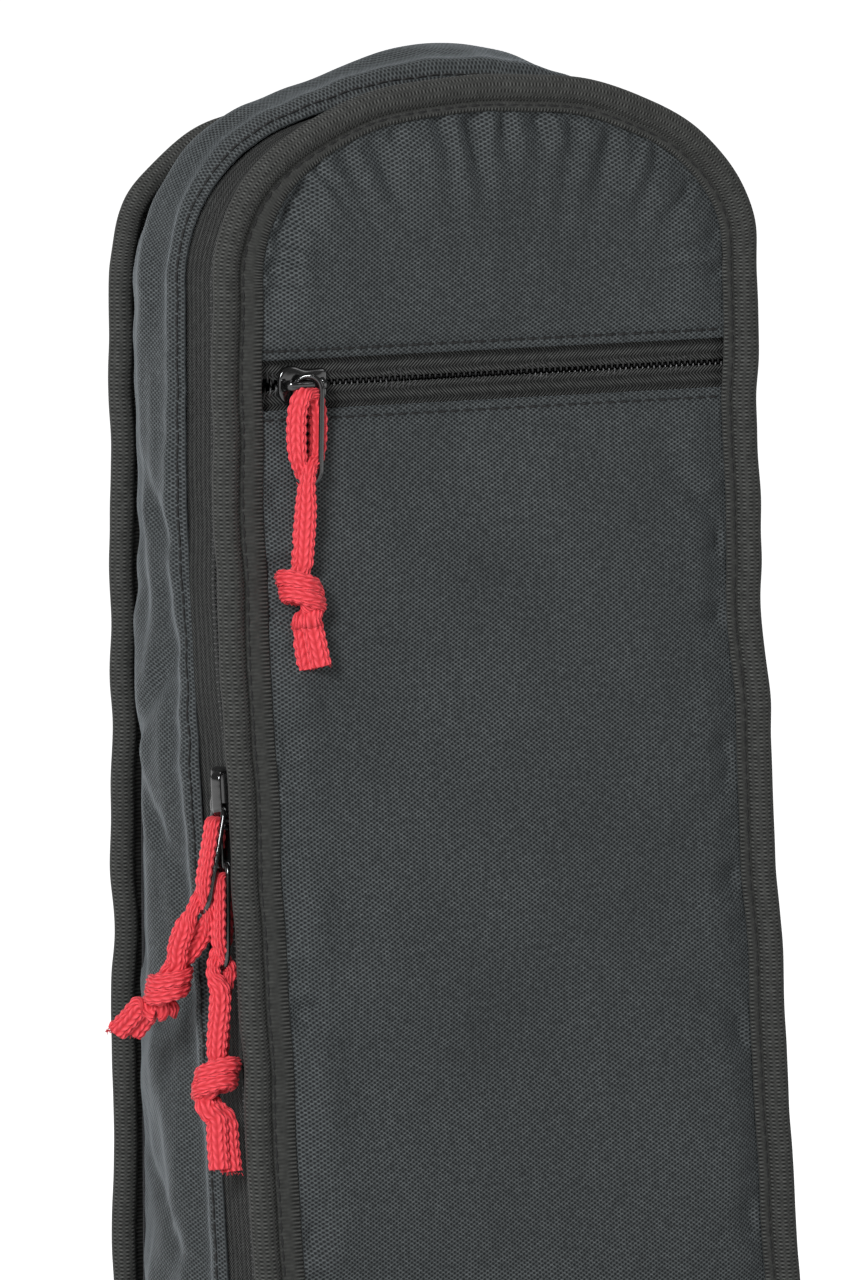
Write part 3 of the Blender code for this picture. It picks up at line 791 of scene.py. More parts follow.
def pull_axes(label):
    """Directions across a wire loop, out of it and up it, then its pivot and the middle of its lower bend."""
    pivot, bar = JOINTS[f"{label}_puller_swing"], JOINTS[f"{label}_cord_swing"]
    up = (pivot - bar).normalized()
    if label == "pocket":
        turn = Matrix.Rotation(POCKET_PULL_TURN, 3, "Z")
        across, facing = turn @ Vector((1, 0, 0)), turn @ Vector((0, -1, 0))
    else:
        facing = Vector((-1, 0, 0))
        across = facing.cross(LEAN_UP)
    face = (facing - up * facing.dot(up)).normalized()
    return across, face, up, pivot, bar


def pull_cord(label, knot, tails, strand_gap, tail_gap, lean, fray, seed, length):
    """One cord: a tail, through the knot, over the wire loop and back through the knot to the other tail.

    knot is an offset from the loop's lower bend and tails one from the knot. The gaps say how far apart the
    strands and the tails lie, in millimetres, as lengths in the lists below are. lean turns the knot round
    its outward direction, and fray is the number of loose fibres at each end.
    """
    across, outward, up, _, bar = (np.array(vector, float) for vector in pull_axes(label))
    knot, tails = np.array(knot, float), np.array(tails, float)
    down = unit(knot)
    knot_up = -unit(down * 0.8 + unit(tails) * 0.2)
    facing = np.array(CORD_FACING, float)
    knot_out = unit(facing - knot_up * (facing @ knot_up))
    knot_side = np.cross(knot_up, knot_out) * (1 if np.cross(knot_up, knot_out) @ across > 0 else -1)
    strand_side, strand_up = knot_side, -down
    knot_side, knot_up = (
        knot_side * math.cos(lean) + knot_up * math.sin(lean),
        knot_up * math.cos(lean) - knot_side * math.sin(lean),
    )
    centre = bar + knot

    def in_loop(x, out, rise, wide):
        place = bar + (across * x + outward * out + up * rise) * MM
        return [*place, *across, wide * MM, HALF_THICKNESS]

    def in_knot(x, out, rise, side, wide=1.75):
        place = centre + (knot_side * x + knot_out * out + knot_up * rise) * MM
        direction = knot_side * side[0] + knot_out * side[1] + knot_up * side[2]
        return [*place, *direction, wide * MM, HALF_THICKNESS]

    def strand(origin, x, out, rise, wide=2.15):
        place = origin + (strand_side * x + knot_out * out + strand_up * rise) * MM
        return [*place, *strand_side, wide * MM, HALF_THICKNESS]

    flat, upright = (1, 0, 0), (0, 0, 1)
    loop_up = [
        strand(bar, 0.1 + strand_gap, 1.3, -5.0),
        in_loop(0.2 + 0.5 * strand_gap, 1.9, -0.8, 1.75),
        in_loop(0.6, 0.9, 3.4, 1.5),
        in_loop(1.5, -1.3, 5.6, 1.7),
        in_loop(1.9, -1.8, 10.6, 1.9),
        in_loop(1.6, -1.6, 15.8, 2.0),
        in_loop(0.8, -0.6, 19.0, 2.0),
        in_loop(-0.8, 1.3, 19.3, 2.0),
        in_loop(-1.9, 1.9, 16.4, 2.0),
        in_loop(-2.2, 2.0, 10.5, 2.05),
        in_loop(-1.9, 1.7, 6.0, 1.9),
        in_loop(-1.3, 0.4, 2.8, 1.5),
        in_loop(-0.8, -1.6, -0.4, 1.5),
        strand(bar, -0.1 - strand_gap, -1.2, -5.0),
    ]

    def through_knot(s):
        """Controls from above the knot to its tail. s is 1 for one of the strands and -1 for the other."""
        return [
            strand(centre, (0.2 + 0.6 * strand_gap) * s, 1.2 * s, 9.0),
            strand(centre, 0.2 * s, 1.1 * s, 5.6, 2.05),
            in_knot(0.4, 1.0 * s, 2.6, flat),
            in_knot(0.7, 0.95 * s, -0.8, flat),
            in_knot(1.2, 0.6 + 0.9 * s, -3.6, (0.8, 0, 0.6)),
            in_knot(2.8, -0.6 + 0.8 * s, -3.6 + 0.7 * s, (0.4, 0, 0.9)),
            in_knot(3.5, 0.6, -2.2 + 1.6 * s, upright),
            in_knot(2.3, 2.7, -0.9 + 1.65 * s, upright),
            in_knot(0.0, 3.3, 0.5 + 1.65 * s, upright),
            in_knot(-2.3, 2.6, 1.5 + 1.65 * s, upright),
            in_knot(-3.6, 0.2, 1.5 + 1.65 * s, upright),
            in_knot(-2.4, -2.4, 0.5 + 1.6 * s, upright),
            in_knot(0.2, -3.0, -0.9 + 1.5 * s, upright),
            in_knot(2.0, -2.2, -2.4 + 1.2 * s, (0.4, 0, 0.9)),
            in_knot(1.4 + 0.6 * s, -0.6 + 0.5 * s, -4.6 + 0.5 * s, (0.9, 0, 0.4), 1.9),
            in_knot(-0.2 + 1.0 * s, 0.3 + 0.8 * s, -7.0, flat, 2.2),
        ]

    def tail(sign):
        made = []
        for share in (0.45, 0.72, 1.0):
            place = centre + tails * share
            aside, ahead = 0.9 + tail_gap * share, 0.9 - 0.3 * share
            offset = knot_side * aside * sign + knot_out * ahead * sign
            made.append([*(place + offset * MM), *knot_side, 2.25 * MM, HALF_THICKNESS])
        return made

    first = (through_knot(1) + tail(1))[::-1]
    second = through_knot(-1) + tail(-1)
    route = smooth_route(first + loop_up + second, 0.2 * MM)
    heap = Heap()
    heap.tube(route[:, :3], route[:, 3:6], route[:, 6] - 0.15 * MM, route[:, 7], 64, relief=knit)
    rng = np.random.default_rng(seed)
    for end, inner in ((route[0], route[8]), (route[-1], route[-9])):
        heading = unit(end[:3] - inner[:3])
        for _ in range(fray):
            root = end[:3] + end[3:6] * end[6] * rng.uniform(-1, 1) - heading * rng.uniform(0, 0.5) * MM
            way = unit(heading + 0.55 * rng.normal(size=3)) * rng.uniform(0.5, 1.3) * MM
            fibre = np.array([root, root + 0.5 * way, root + way + 0.15 * rng.normal(size=3) * MM])
            heap.tube(fibre, np.tile(knot_out, (3, 1)), FIBRE_RADIUS, FIBRE_RADIUS, 5)
    piece = heap.made(f"{label}_knitted_cord", "red_cord")
    start, end = bar + up * 2.5 * MM, bar - up * 3.5 * MM
    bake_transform(piece)
    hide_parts(f"{label}_pull_cord")


def cords():
    for label, shape in CORDS.items():
        pull_cord(label, **shape)


# ---------------------------------------------------------------- sliders and pullers


def wire_pullers():
    """Each puller is one bent wire, a long loop with round ends."""
    reach = 2.9 * MM
    for label in CORDS:
        across, _, up, top, bar = (np.array(vector) for vector in pull_axes(label))
        if label == "pocket":
            top = top + up * 2.1 * MM
        angle = np.linspace(0, math.pi, 17)[:, None]
        upper = top - up * reach + reach * (across * np.cos(angle) + up * np.sin(angle))
        lower = bar + up * reach - reach * (across * np.cos(angle) + up * np.sin(angle))
        corners = np.vstack((upper, lower))
        heap = Heap()
        normal = np.tile(np.cross(up, across), (len(corners), 1))
        heap.tube(corners, normal, WIRE_RADIUS, WIRE_RADIUS, 16, closed=True, fullness=1.0)
        piece = heap.made(f"{label}_puller_wire", "puller_wire")
        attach(piece, f"{label}_puller")
        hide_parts(f"{label}_puller")


def slider_plate(heap, place, level, dome):
    """One plate: a square tail, a wide rounded nose, and edges rolled over. Its face is at a level."""
    half, tail, nose = SLIDER_LENGTH / 2, 3.3 * MM, 4.2 * MM
    controls = [(-half, 0), (-half, tail - 0.6 * MM), (-half + 0.5 * MM, tail), (-0.1 * half, tail)]
    controls += [(0.42 * half, nose), (0.78 * half, 0.86 * nose), (0.96 * half, 0.5 * nose), (half, 0)]
    side = smooth_route([(x, y, 0) for x, y in controls], 0.25 * MM)[:, :2]
    rim = np.vstack((side, side[-2:0:-1] * (1, -1)))
    rings = []
    edges = ((0.5, -PLATE_THICKNESS), (0.12, -PLATE_THICKNESS + 0.12 * MM), (0, -0.5 * PLATE_THICKNESS))
    for inward, height in (*edges, (0.1, -0.22 * MM)):
        rings.append(np.column_stack((shrunk(rim, inward * MM), np.full(len(rim), level + height))))
    for share in (0.35, 0.75, 1.4, 2.2, 3.2):
        inner = shrunk(rim, share * MM)
        rise = dome * min(1.0, share / 2.0)
        rings.append(np.column_stack((inner, np.full(len(rim), level + rise))))
    points = np.array(rings)
    faces = grid_faces(len(points), len(rim), close_columns=True)
    start = heap.count
    heap.add(placed(points.reshape(-1, 3), place), faces)
    heap.faces.append(list(range(start, start + len(rim))))
    last = start + (len(points) - 1) * len(rim)
    heap.faces.append(list(range(last + len(rim) - 1, last - 1, -1)))


def shrunk(rim, distance):
    """A closed rim moved inwards by about a distance."""
    reach = np.abs(rim).max(0)
    return rim * (reach - distance) / reach


def placed(points, place):
    """Local points in the frame: place is a matrix."""
    matrix = np.array(place)
    return points @ matrix[:3, :3].T + matrix[:3, 3]


def slider_bodies():
    """Cast sliders: two plates, a post between them, side flanges, and a bridge that carries the wire."""
    to_side = Matrix.Rotation(SLIDER_TURN, 3, LEAN_UP) @ Vector((-1, 0, 0))
    for label, to_nose, outward, bridge, bridge_height in (
        ("pocket", Vector((-1, 0, 0)), Vector((0, -1, 0)), 0.95, 3.1),
        ("upper", -LEAN_UP, to_side, 1.3, 2.6),
        ("lower", LEAN_UP, to_side, 1.3, 2.6),
    ):
        low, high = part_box(f"{label}_slider")
        middle = (low + high) / 2
        if label == "pocket":
            centre = Vector((middle.x, FACE_TOP, middle.z))
        else:
            centre = Vector((-HALF_WIDTH + 1.8 * MM, middle.y, middle.z))
        across = outward.cross(to_nose)
        place = Matrix.Translation(centre) @ Matrix((to_nose, across, outward)).transposed().to_4x4()
        heap = Heap()
        gap = TAPE_THICKNESS + 2.7 * MM
        slider_plate(heap, place, 0.0, 0.35 * MM)
        slider_plate(heap, place, -PLATE_THICKNESS - gap, 0.0)
        for sign in (-1, 1):
            flange = smooth_route([(-5.2, 3.0, -0.9), (-1.0, 3.05, -0.9), (2.6, 3.75, -0.9)], 0.4)
            flange = flange * (1, sign, 1) * MM
            tube_in(heap, place, flange, (0, 1, 0), 0.32 * MM, 0.75 * MM, 12)
        post = np.array([(3.4, 0, -0.5), (3.4, 0, -2.5), (3.4, 0, -4.6)]) * MM
        tube_in(heap, place, post, (1, 0, 0), 1.2 * MM, 0.4 * MM, 12)
        rise = bridge_height
        arch = [(-4.7, 0, -0.6), (-4.75, 0, rise - 2.0), (-4.5, 0, rise - 0.9), (-3.7, 0, rise - 0.15)]
        arch += [(-1.8, 0, rise), (0, 0, rise)]
        arch += [(-x, y, z) for x, y, z in arch[-2::-1]]
        arch = smooth_route(arch, 0.25) * MM
        tube_in(heap, place, arch, (0, 1, 0), bridge * MM, 0.45 * MM, 20)
        for end in (-1, 1):
            foot = np.array([(4.55 * end, 0, -0.2), (4.6 * end, 0, 0.5), (4.62 * end, 0, 1.3)]) * MM
            half_width, half_thickness = np.array(((1.7, 1.35, 1.0), (0.9, 0.7, 0.5))) * MM
            tube_in(heap, place, foot, (0, 1, 0), half_width, half_thickness, 16)
        piece = heap.made(f"{label}_slider_body", "slider_metal")
        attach(piece, f"{label}_slider")
        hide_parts(f"{label}_slider")


def tube_in(heap, place, route, side, half_width, half_thickness, around):
    """A tube whose route and side are in a slider's own axes."""
    turned = np.array(place)[:3, :3] @ np.array(side, float)
    heap.tube(placed(route, place), np.tile(turned, (len(route), 1)), half_width, half_thickness, around)


# ---------------------------------------------------------------- front panels


def edge_distance(x, z, inset, strips=None):
    """Distance inwards from the outline at an inset (0 outside it), and the nearest station's arc position.

    With strips, the distance is from the inner edge of a binding with those strips instead.
    """
    stations, along = outline(1.0 * MM, closed=True)
    if strips:
        inset = ROLL_WIDTH + strip_width(stations[:, 2], strips)[:, None] * MM
    edge = stations[:, :2] - stations[:, 2:] * inset
    places = np.column_stack((x.ravel(), z.ravel()))
    inward = np.empty(len(places))
    where = np.empty(len(places))
    batch = 4000
    for start in range(0, len(places), batch):
        part = places[start : start + batch]
        gap = part[:, None] - edge[None]
        nearest = np.argmin(np.einsum("ijk,ijk->ij", gap, gap), 1)
        offset = part - edge[nearest]
        inward[start : start + batch] = -np.einsum("ij,ij->i", offset, stations[nearest, 2:])
        slide = offset[:, 0] * stations[nearest, 3] - offset[:, 1] * stations[nearest, 2]
        where[start : start + batch] = along[nearest] + slide
    return np.maximum(inward, 0).reshape(x.shape), where.reshape(x.shape)


def strip_width(out_x, strips):
    """Width of a binding's flat strip, in millimetres, where the outline faces out_x to the side."""
    left, right, top = strips
    side = np.where(out_x < 0, left, right)
    return top + (side - top) * out_x**2


# Folds that stand out: start x, z, end x, z, half width, depth (below 0 is a ridge), in millimetres.
FOLDS = [
    (-45, 523, -49, 509, 3.0, 2.6),
    (-49, 509, -53, 490, 3.2, 2.6),
    (-41, 520, -37, 505, 2.4, -1.0),
    (-47, 500, -42, 480, 4.0, -1.2),
    (-33, 530, -22, 512, 2.2, 1.7),
    (-22, 532, -27, 516, 2.0, 1.5),
    (-15, 533, -13, 518, 2.2, -0.9),
    (-8, 533, -1, 511, 2.2, 1.7),
    (4, 532, 1, 519, 1.8, 1.0),
    (12, 531, 16, 514, 2.4, 1.4),
    (31, 527, 24, 508, 2.4, 1.7),
    (42, 523, 34, 504, 2.0, 1.3),
    (49, 515, 40, 500, 2.2, 1.2),
    (58, 435, 41, 457, 2.2, 1.5),
    (58, 435, 51, 430, 2.8, 2.2),
    (60, 418, 50, 421, 2.8, 2.2),
    (60, 387, 49, 391, 3.0, 2.2),
    (60, 387, 44, 372, 2.6, 1.0),
    (60, 362, 50, 360, 2.8, 2.0),
    (60, 324, 48, 328, 3.0, 2.2),
    (60, 324, 44, 340, 2.6, 1.0),
    (60, 284, 48, 287, 3.0, 2.0),
    (60, 236, 48, 233, 2.8, 1.9),
    (60, 180, 48, 183, 3.0, 2.0),
    (60, 120, 48, 122, 3.0, 1.9),
    (-57, 452, -48, 449, 2.6, 1.3),
    (-57, 395, -46, 398, 2.8, 1.5),
    (-57, 340, -45, 337, 3.0, 1.6),
    (-57, 290, -46, 293, 2.8, 1.5),
    (-57, 230, -46, 227, 2.8, 1.5),
    (-57, 170, -44, 174, 3.0, 1.6),
    (-30, 330, 10, 310, 9.0, 1.0),
    (-10, 250, 35, 230, 10.0, 1.1),
    (-35, 190, 20, 205, 9.0, 1.0),
    (5, 400, 40, 380, 8.0, 0.8),
    (-30, 430, 0, 405, 8.0, 0.7),
]


def folded(x, z):
    """Depth of the folds at a place on the front. Each fades at its inner end."""
    total = np.zeros_like(x)
    for x0, z0, x1, z1, width, depth in FOLDS:
        start, way = np.array((x0, z0)) * MM, np.array((x1 - x0, z1 - z0)) * MM
        run = np.linalg.norm(way)
        share = ((x - start[0]) * way[0] + (z - start[1]) * way[1]) / run**2
        aside = ((x - start[0]) * way[1] - (z - start[1]) * way[0]) / run
        inner_end = np.exp(-(np.maximum(share, 0) ** 4) * 1.5)
        fade = np.where(share < 0, hump(share * run, 2 * width * MM), inner_end)
        spread = width * MM * (0.8 + 0.7 * np.clip(share, 0, 1.5))
        total += depth * MM * fade * hump(aside, spread)
    return total


def front_relief(x, z):
    """How far the front cloth stands out of its plane: filled by the pocket, puckered along the binding."""
    room, along = edge_distance(x, z, 0.0, FRONT_STRIPS)
    from_zip = np.abs(z - POCKET_ZIP_Z) - POCKET_EDGE
    pillow = 3.0 * MM * fill(room, 7 * MM)
    roll = 0.9 * MM * hump(room - 7 * MM, 4 * MM) * (0.8 + 0.5 * waves(9, 6, 18 * MM, 40 * MM)(along))
    pucker = waves(3, 9, 8 * MM, 15 * MM)(along) * fill(room, 1.2 * MM) * decay(room, 9 * MM)
    small = waves(5, 7, 4.5 * MM, 8 * MM)(along) * fill(room, 0.8 * MM) * decay(room, 4 * MM)
    sag = ripples(11, 10, 34 * MM, 90 * MM)(x, z) * 1.0 * MM
    crumple = ripples(17, 14, 14 * MM, 28 * MM)(x, z) * 0.17 * MM
    crown = 0.65 + 0.75 / (1 + np.exp(-(z - GATHERED_FROM_Z) / (6 * MM)))
    gathered = crown * (0.95 * MM * pucker + 0.30 * MM * small)
    creases = folded(x, z) * (1 - hump(room, 1.6 * MM))
    out = pillow + roll + gathered + (sag + crumple) * fill(room, 6 * MM) - creases
    beyond = np.maximum(from_zip, 0)
    held = fill(beyond, 7 * MM)
    near_zip = waves(8, 6, 9 * MM, 18 * MM)(x) * 0.35 * MM * held * decay(beyond, 9 * MM)
    groove = 0.3 * MM * hump(from_zip - STITCH_INSET, 0.7 * MM)
    return 0.12 * MM + out * held + near_zip - groove


def panel_columns(inset, count):
    """Places across a panel, closer together towards its edges."""
    share = np.linspace(-1, 1, count)
    return (HALF_WIDTH - inset) * (0.45 * share + 0.55 * np.sin(0.5 * math.pi * share))


def base_edge(x):
    """Height of a panel's lower edge, which rises inside the binding's bend at the base."""
    return BASE_EDGE_Z + np.maximum(0, np.abs(x) - (HALF_WIDTH - BASE_RADIUS))


def panel_grid(inset, columns, rows, drop=0.0):
    """x and z over a whole panel, from the base to the crown, which has come down by a drop."""
    across = panel_columns(inset, columns)
    low = base_edge(across)
    top = lowered(crown_z(across, inset), drop)
    z = low + (top - low) * np.linspace(0, 1, rows)[:, None]
    return np.broadcast_to(across, z.shape), z


def front_panel(name, node, rows, low, high, fold_at):
    """A panel between two heights, low(x) and high(x), with the edge at the pocket zip folded under."""
    columns = panel_columns(PANEL_INSET, 190)
    share = np.linspace(0, 1, rows)[:, None]
    x = np.broadcast_to(columns, (rows, len(columns)))
    z = low(columns) + (high(columns) - low(columns)) * share
    y = front_y(z) - front_relief(x, z)
    radius = 0.62 * MM
    bend = np.linspace(0, 1.1 * math.pi, 9)[1:, None]
    edge = 0 if fold_at == "low" else -1
    way = -1 if fold_at == "low" else 1
    z_fold = z[edge] + way * radius * np.sin(bend)
    y_fold = y[edge] + radius * (1 - np.cos(bend))
    x_fold = np.broadcast_to(columns, z_fold.shape)
    fold = np.stack((x_fold, y_fold, z_fold), -1)
    face = np.stack((x, y, z), -1)
    over = z[edge] + way * radius * bend
    if fold_at == "low":
        points, height = np.concatenate((fold[::-1], face)), np.concatenate((over[::-1], z))
    else:
        points, height = np.concatenate((face, fold)), np.concatenate((z, over))
    across = np.broadcast_to(columns, height.shape)
    piece = sheet(name, points, surface_cloth(across, height), "oxford_cloth", 0.45 * MM, "lining_cloth")
    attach(piece, "front_flap")
    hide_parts(node)
    line_z = z[edge] - way * STITCH_INSET
    line_y = front_y(line_z) - front_relief(columns, line_z) - 0.1 * MM
    return np.column_stack((columns, line_y, line_z))[6:-6]


def front_panels():
    """The cloth above and below the pocket zip, its stitching, and the pocket's inner sheet."""
    upper_line = front_panel(
        "front_upper_cloth",
        "front_panel_upper",
        110,
        lambda x: np.full_like(x, POCKET_ZIP_Z + POCKET_EDGE),
        lambda x: crown_z(x, PANEL_INSET),
        "low",
    )
    lower_line = front_panel(
        "front_lower_cloth",
        "front_panel_lower",
        430,
        base_edge,
        lambda x: np.full_like(x, POCKET_ZIP_Z - POCKET_EDGE),
        "high",
    )
    outward = np.tile((0.0, -1.0, 0.0), (len(upper_line), 1))
    stitches("pocket_stitching", "front_flap", [(upper_line, outward), (lower_line, outward)])
    lining_faces()


def lining_faces():
    """The pocket's inner sheet, which is what shows inside when the flap opens."""
    x, z = panel_grid(PANEL_INSET, 90, 240)
    room, along = edge_distance(x, z, PANEL_INSET)
    full = fill(room, 6 * MM)
    pucker = waves(31, 8, 10 * MM, 22 * MM)(along) * decay(room, 14 * MM) * full * 0.7 * MM
    sag = ripples(37, 9, 40 * MM, 110 * MM)(x, z) * full * 0.8 * MM
    y = front_y(z) + 2.6 * MM + 6.0 * MM * full + pucker + sag
    points = np.stack((x, y, z), -1)
    piece = sheet("pocket_inner_cloth", points, surface_cloth(x, z), "lining_cloth", 0.4 * MM)
    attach(piece, "front_flap")
    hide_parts("pocket_lining")


# ---------------------------------------------------------------- bindings


def binding_section(strip):
    """Section of a binding as (inset, depth) in millimetres: a roll round the edge, and a flat strip."""
    roll = 2.85
    angle = np.radians(np.linspace(-118, 168, 22))
    outer = [(roll - roll * math.cos(a), -0.25 - 2.75 * math.sin(a)) for a in angle]
    inner = 5.75 + strip
    front = [(5.75, -0.75), (6.15, -0.98), (0.5 * (6.1 + inner), -1.02), (inner - 0.4, -0.95), (inner, -0.55)]
    behind = [(inner - 0.2, -0.15), (5.6, 0.3), (4.9, 1.4)]
    return np.array(outer + front + behind)


def binding(name, node, body, face, drop, toward, strips, seed):
    """A binding round the whole outline. face(z) is the panel's face, and toward is the way it faces."""
    stations, along = outline(0.9 * MM, closed=True)
    x, z, out_x, out_z = stations.T
    strip = strip_width(out_x, strips)
    narrow, wide = binding_section(0.0), binding_section(1.0)
    section = narrow[None] + (wide - narrow)[None] * strip[:, None, None]
    sway = waves(seed, 8, 22 * MM, 60 * MM)(along) * 0.42
    swell = 1 + 0.045 * waves(seed + 1, 8, 9 * MM, 26 * MM)(along)
    rock = waves(seed + 2, 8, 14 * MM, 45 * MM)(along) * 0.26
    inset = (section[..., 0] + sway[:, None] * 0.8) * MM
    depth = section[..., 1] * swell[:, None] * MM + (rock[:, None] * MM) * (1 - section[..., 0] / 12)
    height = lowered(z, drop)
    points = np.stack(
        (
            x[:, None] - out_x[:, None] * inset,
            face(z)[:, None] - toward * depth,
            height[:, None] - out_z[:, None] * inset,
        ),
        -1,
    )
    points[..., 2] = np.maximum(points[..., 2], 0.0)
    faces = grid_faces(*points.shape[:2], close_rows=True, close_columns=True)
    around = lengths(narrow * MM)
    heap = Heap()
    heap.add(points, faces, surface_cloth(around[None, :], along[:, None]))
    piece = heap.made(name, "grosgrain_binding")
    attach(piece, body)
    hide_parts(node)
    groove = 6.7 * MM + sway * 0.8 * MM
    raised = face(z) + toward * 1.0 * MM + rock * MM * 0.4
    line = np.column_stack((x - out_x * groove, raised, height - out_z * groove))
    away = np.tile((0.0, toward, 0.0), (len(line), 1))
    stitches(f"{name}_stitching", body, [(line, away)], radius=0.2 * MM)


def bindings():
    binding("front_binding_tape", "front_binding", "front_flap", front_y, 0.0, -1, FRONT_STRIPS, 41)
    back_face = BACK_Y - 1.2 * MM
    binding(
        "back_binding_tape",
        "back_binding",
        "shell",
        lambda z: np.full_like(z, back_face),
        HEIGHT - BACK_TOP_Z,
        1,
        (3.0, 3.0, 3.0),
        53,
    )


# ---------------------------------------------------------------- gusset and zips


def gusset():
    """The side and top wall: cloth gathered between the zip tape and the back binding."""
    stations, along = outline(1.0 * MM)
    _, z, out_x, out_z = stations.T
    share = np.linspace(0, 1, 64)
    front = front_y(z)[:, None] + CLOTH_START
    back = BACK_Y - 3.0 * MM
    y = front + (back - front) * share
    upward = np.maximum(0, out_z)[:, None] ** 2
    foot = np.clip(z / (30 * MM), 0, 1)[:, None] ** 1.5
    belly = np.sin(math.pi * share**0.85)
    s = along[:, None] + 0 * share
    middle = 0.5 * along[-1]
    crest = hump(s - middle - 10 * MM, 34 * MM)
    bulge = (2.6 * MM + upward * (3.0 * MM + 5.2 * MM * crest)) * belly
    long_folds = ripples(61, 12, 34 * MM, 80 * MM)(s, 3.0 * y) * 0.95 * MM
    winding = 0.55 + 0.13 * waves(63, 5, 50 * MM, 130 * MM)(s)
    fold_line = 1.0 * MM * hump(share - winding, 0.11) * (1 - upward)
    piped = 1.2 * MM * hump(y - front - 3.6 * MM, 2.4 * MM)
    sunk = 0.8 * MM * hump(y - front - 9.5 * MM, 3.6 * MM)
    short_folds = ripples(67, 14, 12 * MM, 26 * MM)(s, 2.0 * y) * 0.13 * MM
    pucker_front = waves(71, 9, 9 * MM, 18 * MM)(s) * decay(y - front, 7 * MM) * 0.5 * MM
    pucker_back = waves(73, 9, 10 * MM, 22 * MM)(s) * decay(back - y, 7 * MM) * 0.7 * MM
    pinned = np.sin(math.pi * share) ** 0.6
    out = bulge + (long_folds + short_folds + fold_line) * pinned
    out = out + (pucker_front + pucker_back) * pinned + piped - sunk - gusset_dents(s, share, along)
    inset = (CLOTH_INSET + share**5 * (VALLEY_INSET - CLOTH_INSET)) * (0.1 + 0.9 * foot) - out * foot
    points = np.empty((*y.shape, 3))
    for column in range(len(share)):
        points[:, column] = wall_points(stations, y[:, column], inset[:, column])
    cloth = surface_cloth(y - front_y(z)[:, None], s)
    piece = sheet("side_gusset_cloth", points, cloth, "oxford_cloth", 0.7 * MM, "lining_cloth")
    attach(piece, "shell")
    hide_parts("side_gusset")
    normal = unit(np.column_stack((out_x, np.zeros_like(out_x), out_z)))
    stitches("gusset_stitching", "shell", [(points[:, 3] + normal * 0.12 * MM, normal)])


def gusset_dents(s, share, along):
    """Deeper creases on both sides: height, share of the gusset's depth, half length, slant and depth.

    Heights, half lengths and depths are in millimetres.
    """
    total = np.zeros_like(s)
    for height, at, long, slant, depth in (
        (452, 0.35, 14, 0.5, 1.5),
        (408, 0.55, 20, -0.6, 1.9),
        (384, 0.50, 12, 0.7, 1.6),
        (340, 0.45, 18, -0.4, 1.7),
        (296, 0.55, 16, 0.6, 1.6),
        (240, 0.50, 20, -0.6, 1.8),
        (186, 0.45, 16, 0.5, 1.6),
        (130, 0.55, 20, -0.5, 1.6),
        (80, 0.50, 14, 0.5, 1.4),
    ):
        for place in (height * MM, along[-1] - height * MM):
            aside = s - place - slant * (share - at) * 60 * MM
            total += depth * MM * hump(aside, 4.5 * MM) * hump((share - at) * 60, long)
    return total


def strip_along(name, node, body, start, end, columns):
    """A tape in the wall, between two depths behind the front face."""
    stations, along = outline(1.0 * MM)
    face = front_y(stations[:, 1])
    share = np.linspace(0, 1, columns)
    points = np.empty((len(stations), columns, 3))
    wobble = waves(83, 8, 20 * MM, 60 * MM)(along) * 0.12 * MM - zip_bulge(stations)
    for column, part in enumerate(share):
        points[:, column] = wall_points(stations, face + start + (end - start) * part, TAPE_INSET + wobble)
    across = start + (end - start) * share
    piece = sheet(name, points, surface_cloth(across[None, :], along[:, None]), "zip_tape", 0.5 * MM)
    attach(piece, body)
    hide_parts(node)


def zip_bulge(stations):
    """How far the closed zip stands out above the parked sliders, on the left."""
    _, z, out_x, _ = stations.T
    return ZIP_BULGE * np.exp(-(((z - ZIP_BULGE_Z) / ZIP_BULGE_REACH) ** 4)) * (out_x < 0)


def coil(name, node, body, axis, deep, outward, phase):
    """A flattened helix round a line: deep and outward are the half axes of each turn, as vectors."""
    distance = lengths(axis)
    steps = round(distance[-1] / COIL_PITCH * 9)
    at = np.linspace(0, distance[-1], steps)
    angle = 2 * math.pi * at / COIL_PITCH + phase
    line = np.column_stack([np.interp(at, distance, column) for column in axis.T])
    first = np.column_stack([np.interp(at, distance, column) for column in deep.T])
    second = np.column_stack([np.interp(at, distance, column) for column in outward.T])
    route = line + first * np.cos(angle)[:, None] + second * np.sin(angle)[:, None]
    heap = Heap()
    side = np.tile((0.31, 0.53, 0.79), (len(route), 1))
    heap.tube(route, side, 0.27 * MM, 0.27 * MM, 5, fullness=1.0)
    piece = heap.made(name, "zip_coil")
    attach(piece, body)
    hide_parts(node)


def main_zip():
    """Tapes and coils of the main zip, which meet in the wall just behind the front binding."""
    slot = 0.45 * MM
    strip_along("gusset_tape", "gusset_zip_tape", "shell", ZIP_BACK + slot, ZIP_BACK + HALF_TAPE, 22)
    strip_along("flap_tape", "flap_zip_tape", "front_flap", 1.2 * MM, ZIP_BACK - slot, 12)
    stations, _ = outline(2.0 * MM)
    face = front_y(stations[:, 1])
    outward = np.column_stack((stations[:, 2], np.zeros(len(stations)), stations[:, 3]))
    deep = np.tile((0.0, 1.0, 0.0), (len(stations), 1))
    for name, node, body, way, phase in (
        ("gusset_coil", "gusset_zip_coil", "shell", 1, 0.0),
        ("flap_coil", "flap_zip_coil", "front_flap", -1, math.pi),
    ):
        inset = TAPE_INSET + 0.9 * MM - zip_bulge(stations)
        axis = wall_points(stations, face + ZIP_BACK + way * 1.25 * MM, inset)
        coil(name, node, body, axis, deep * way * 1.55 * MM, outward * 0.8 * MM, phase)


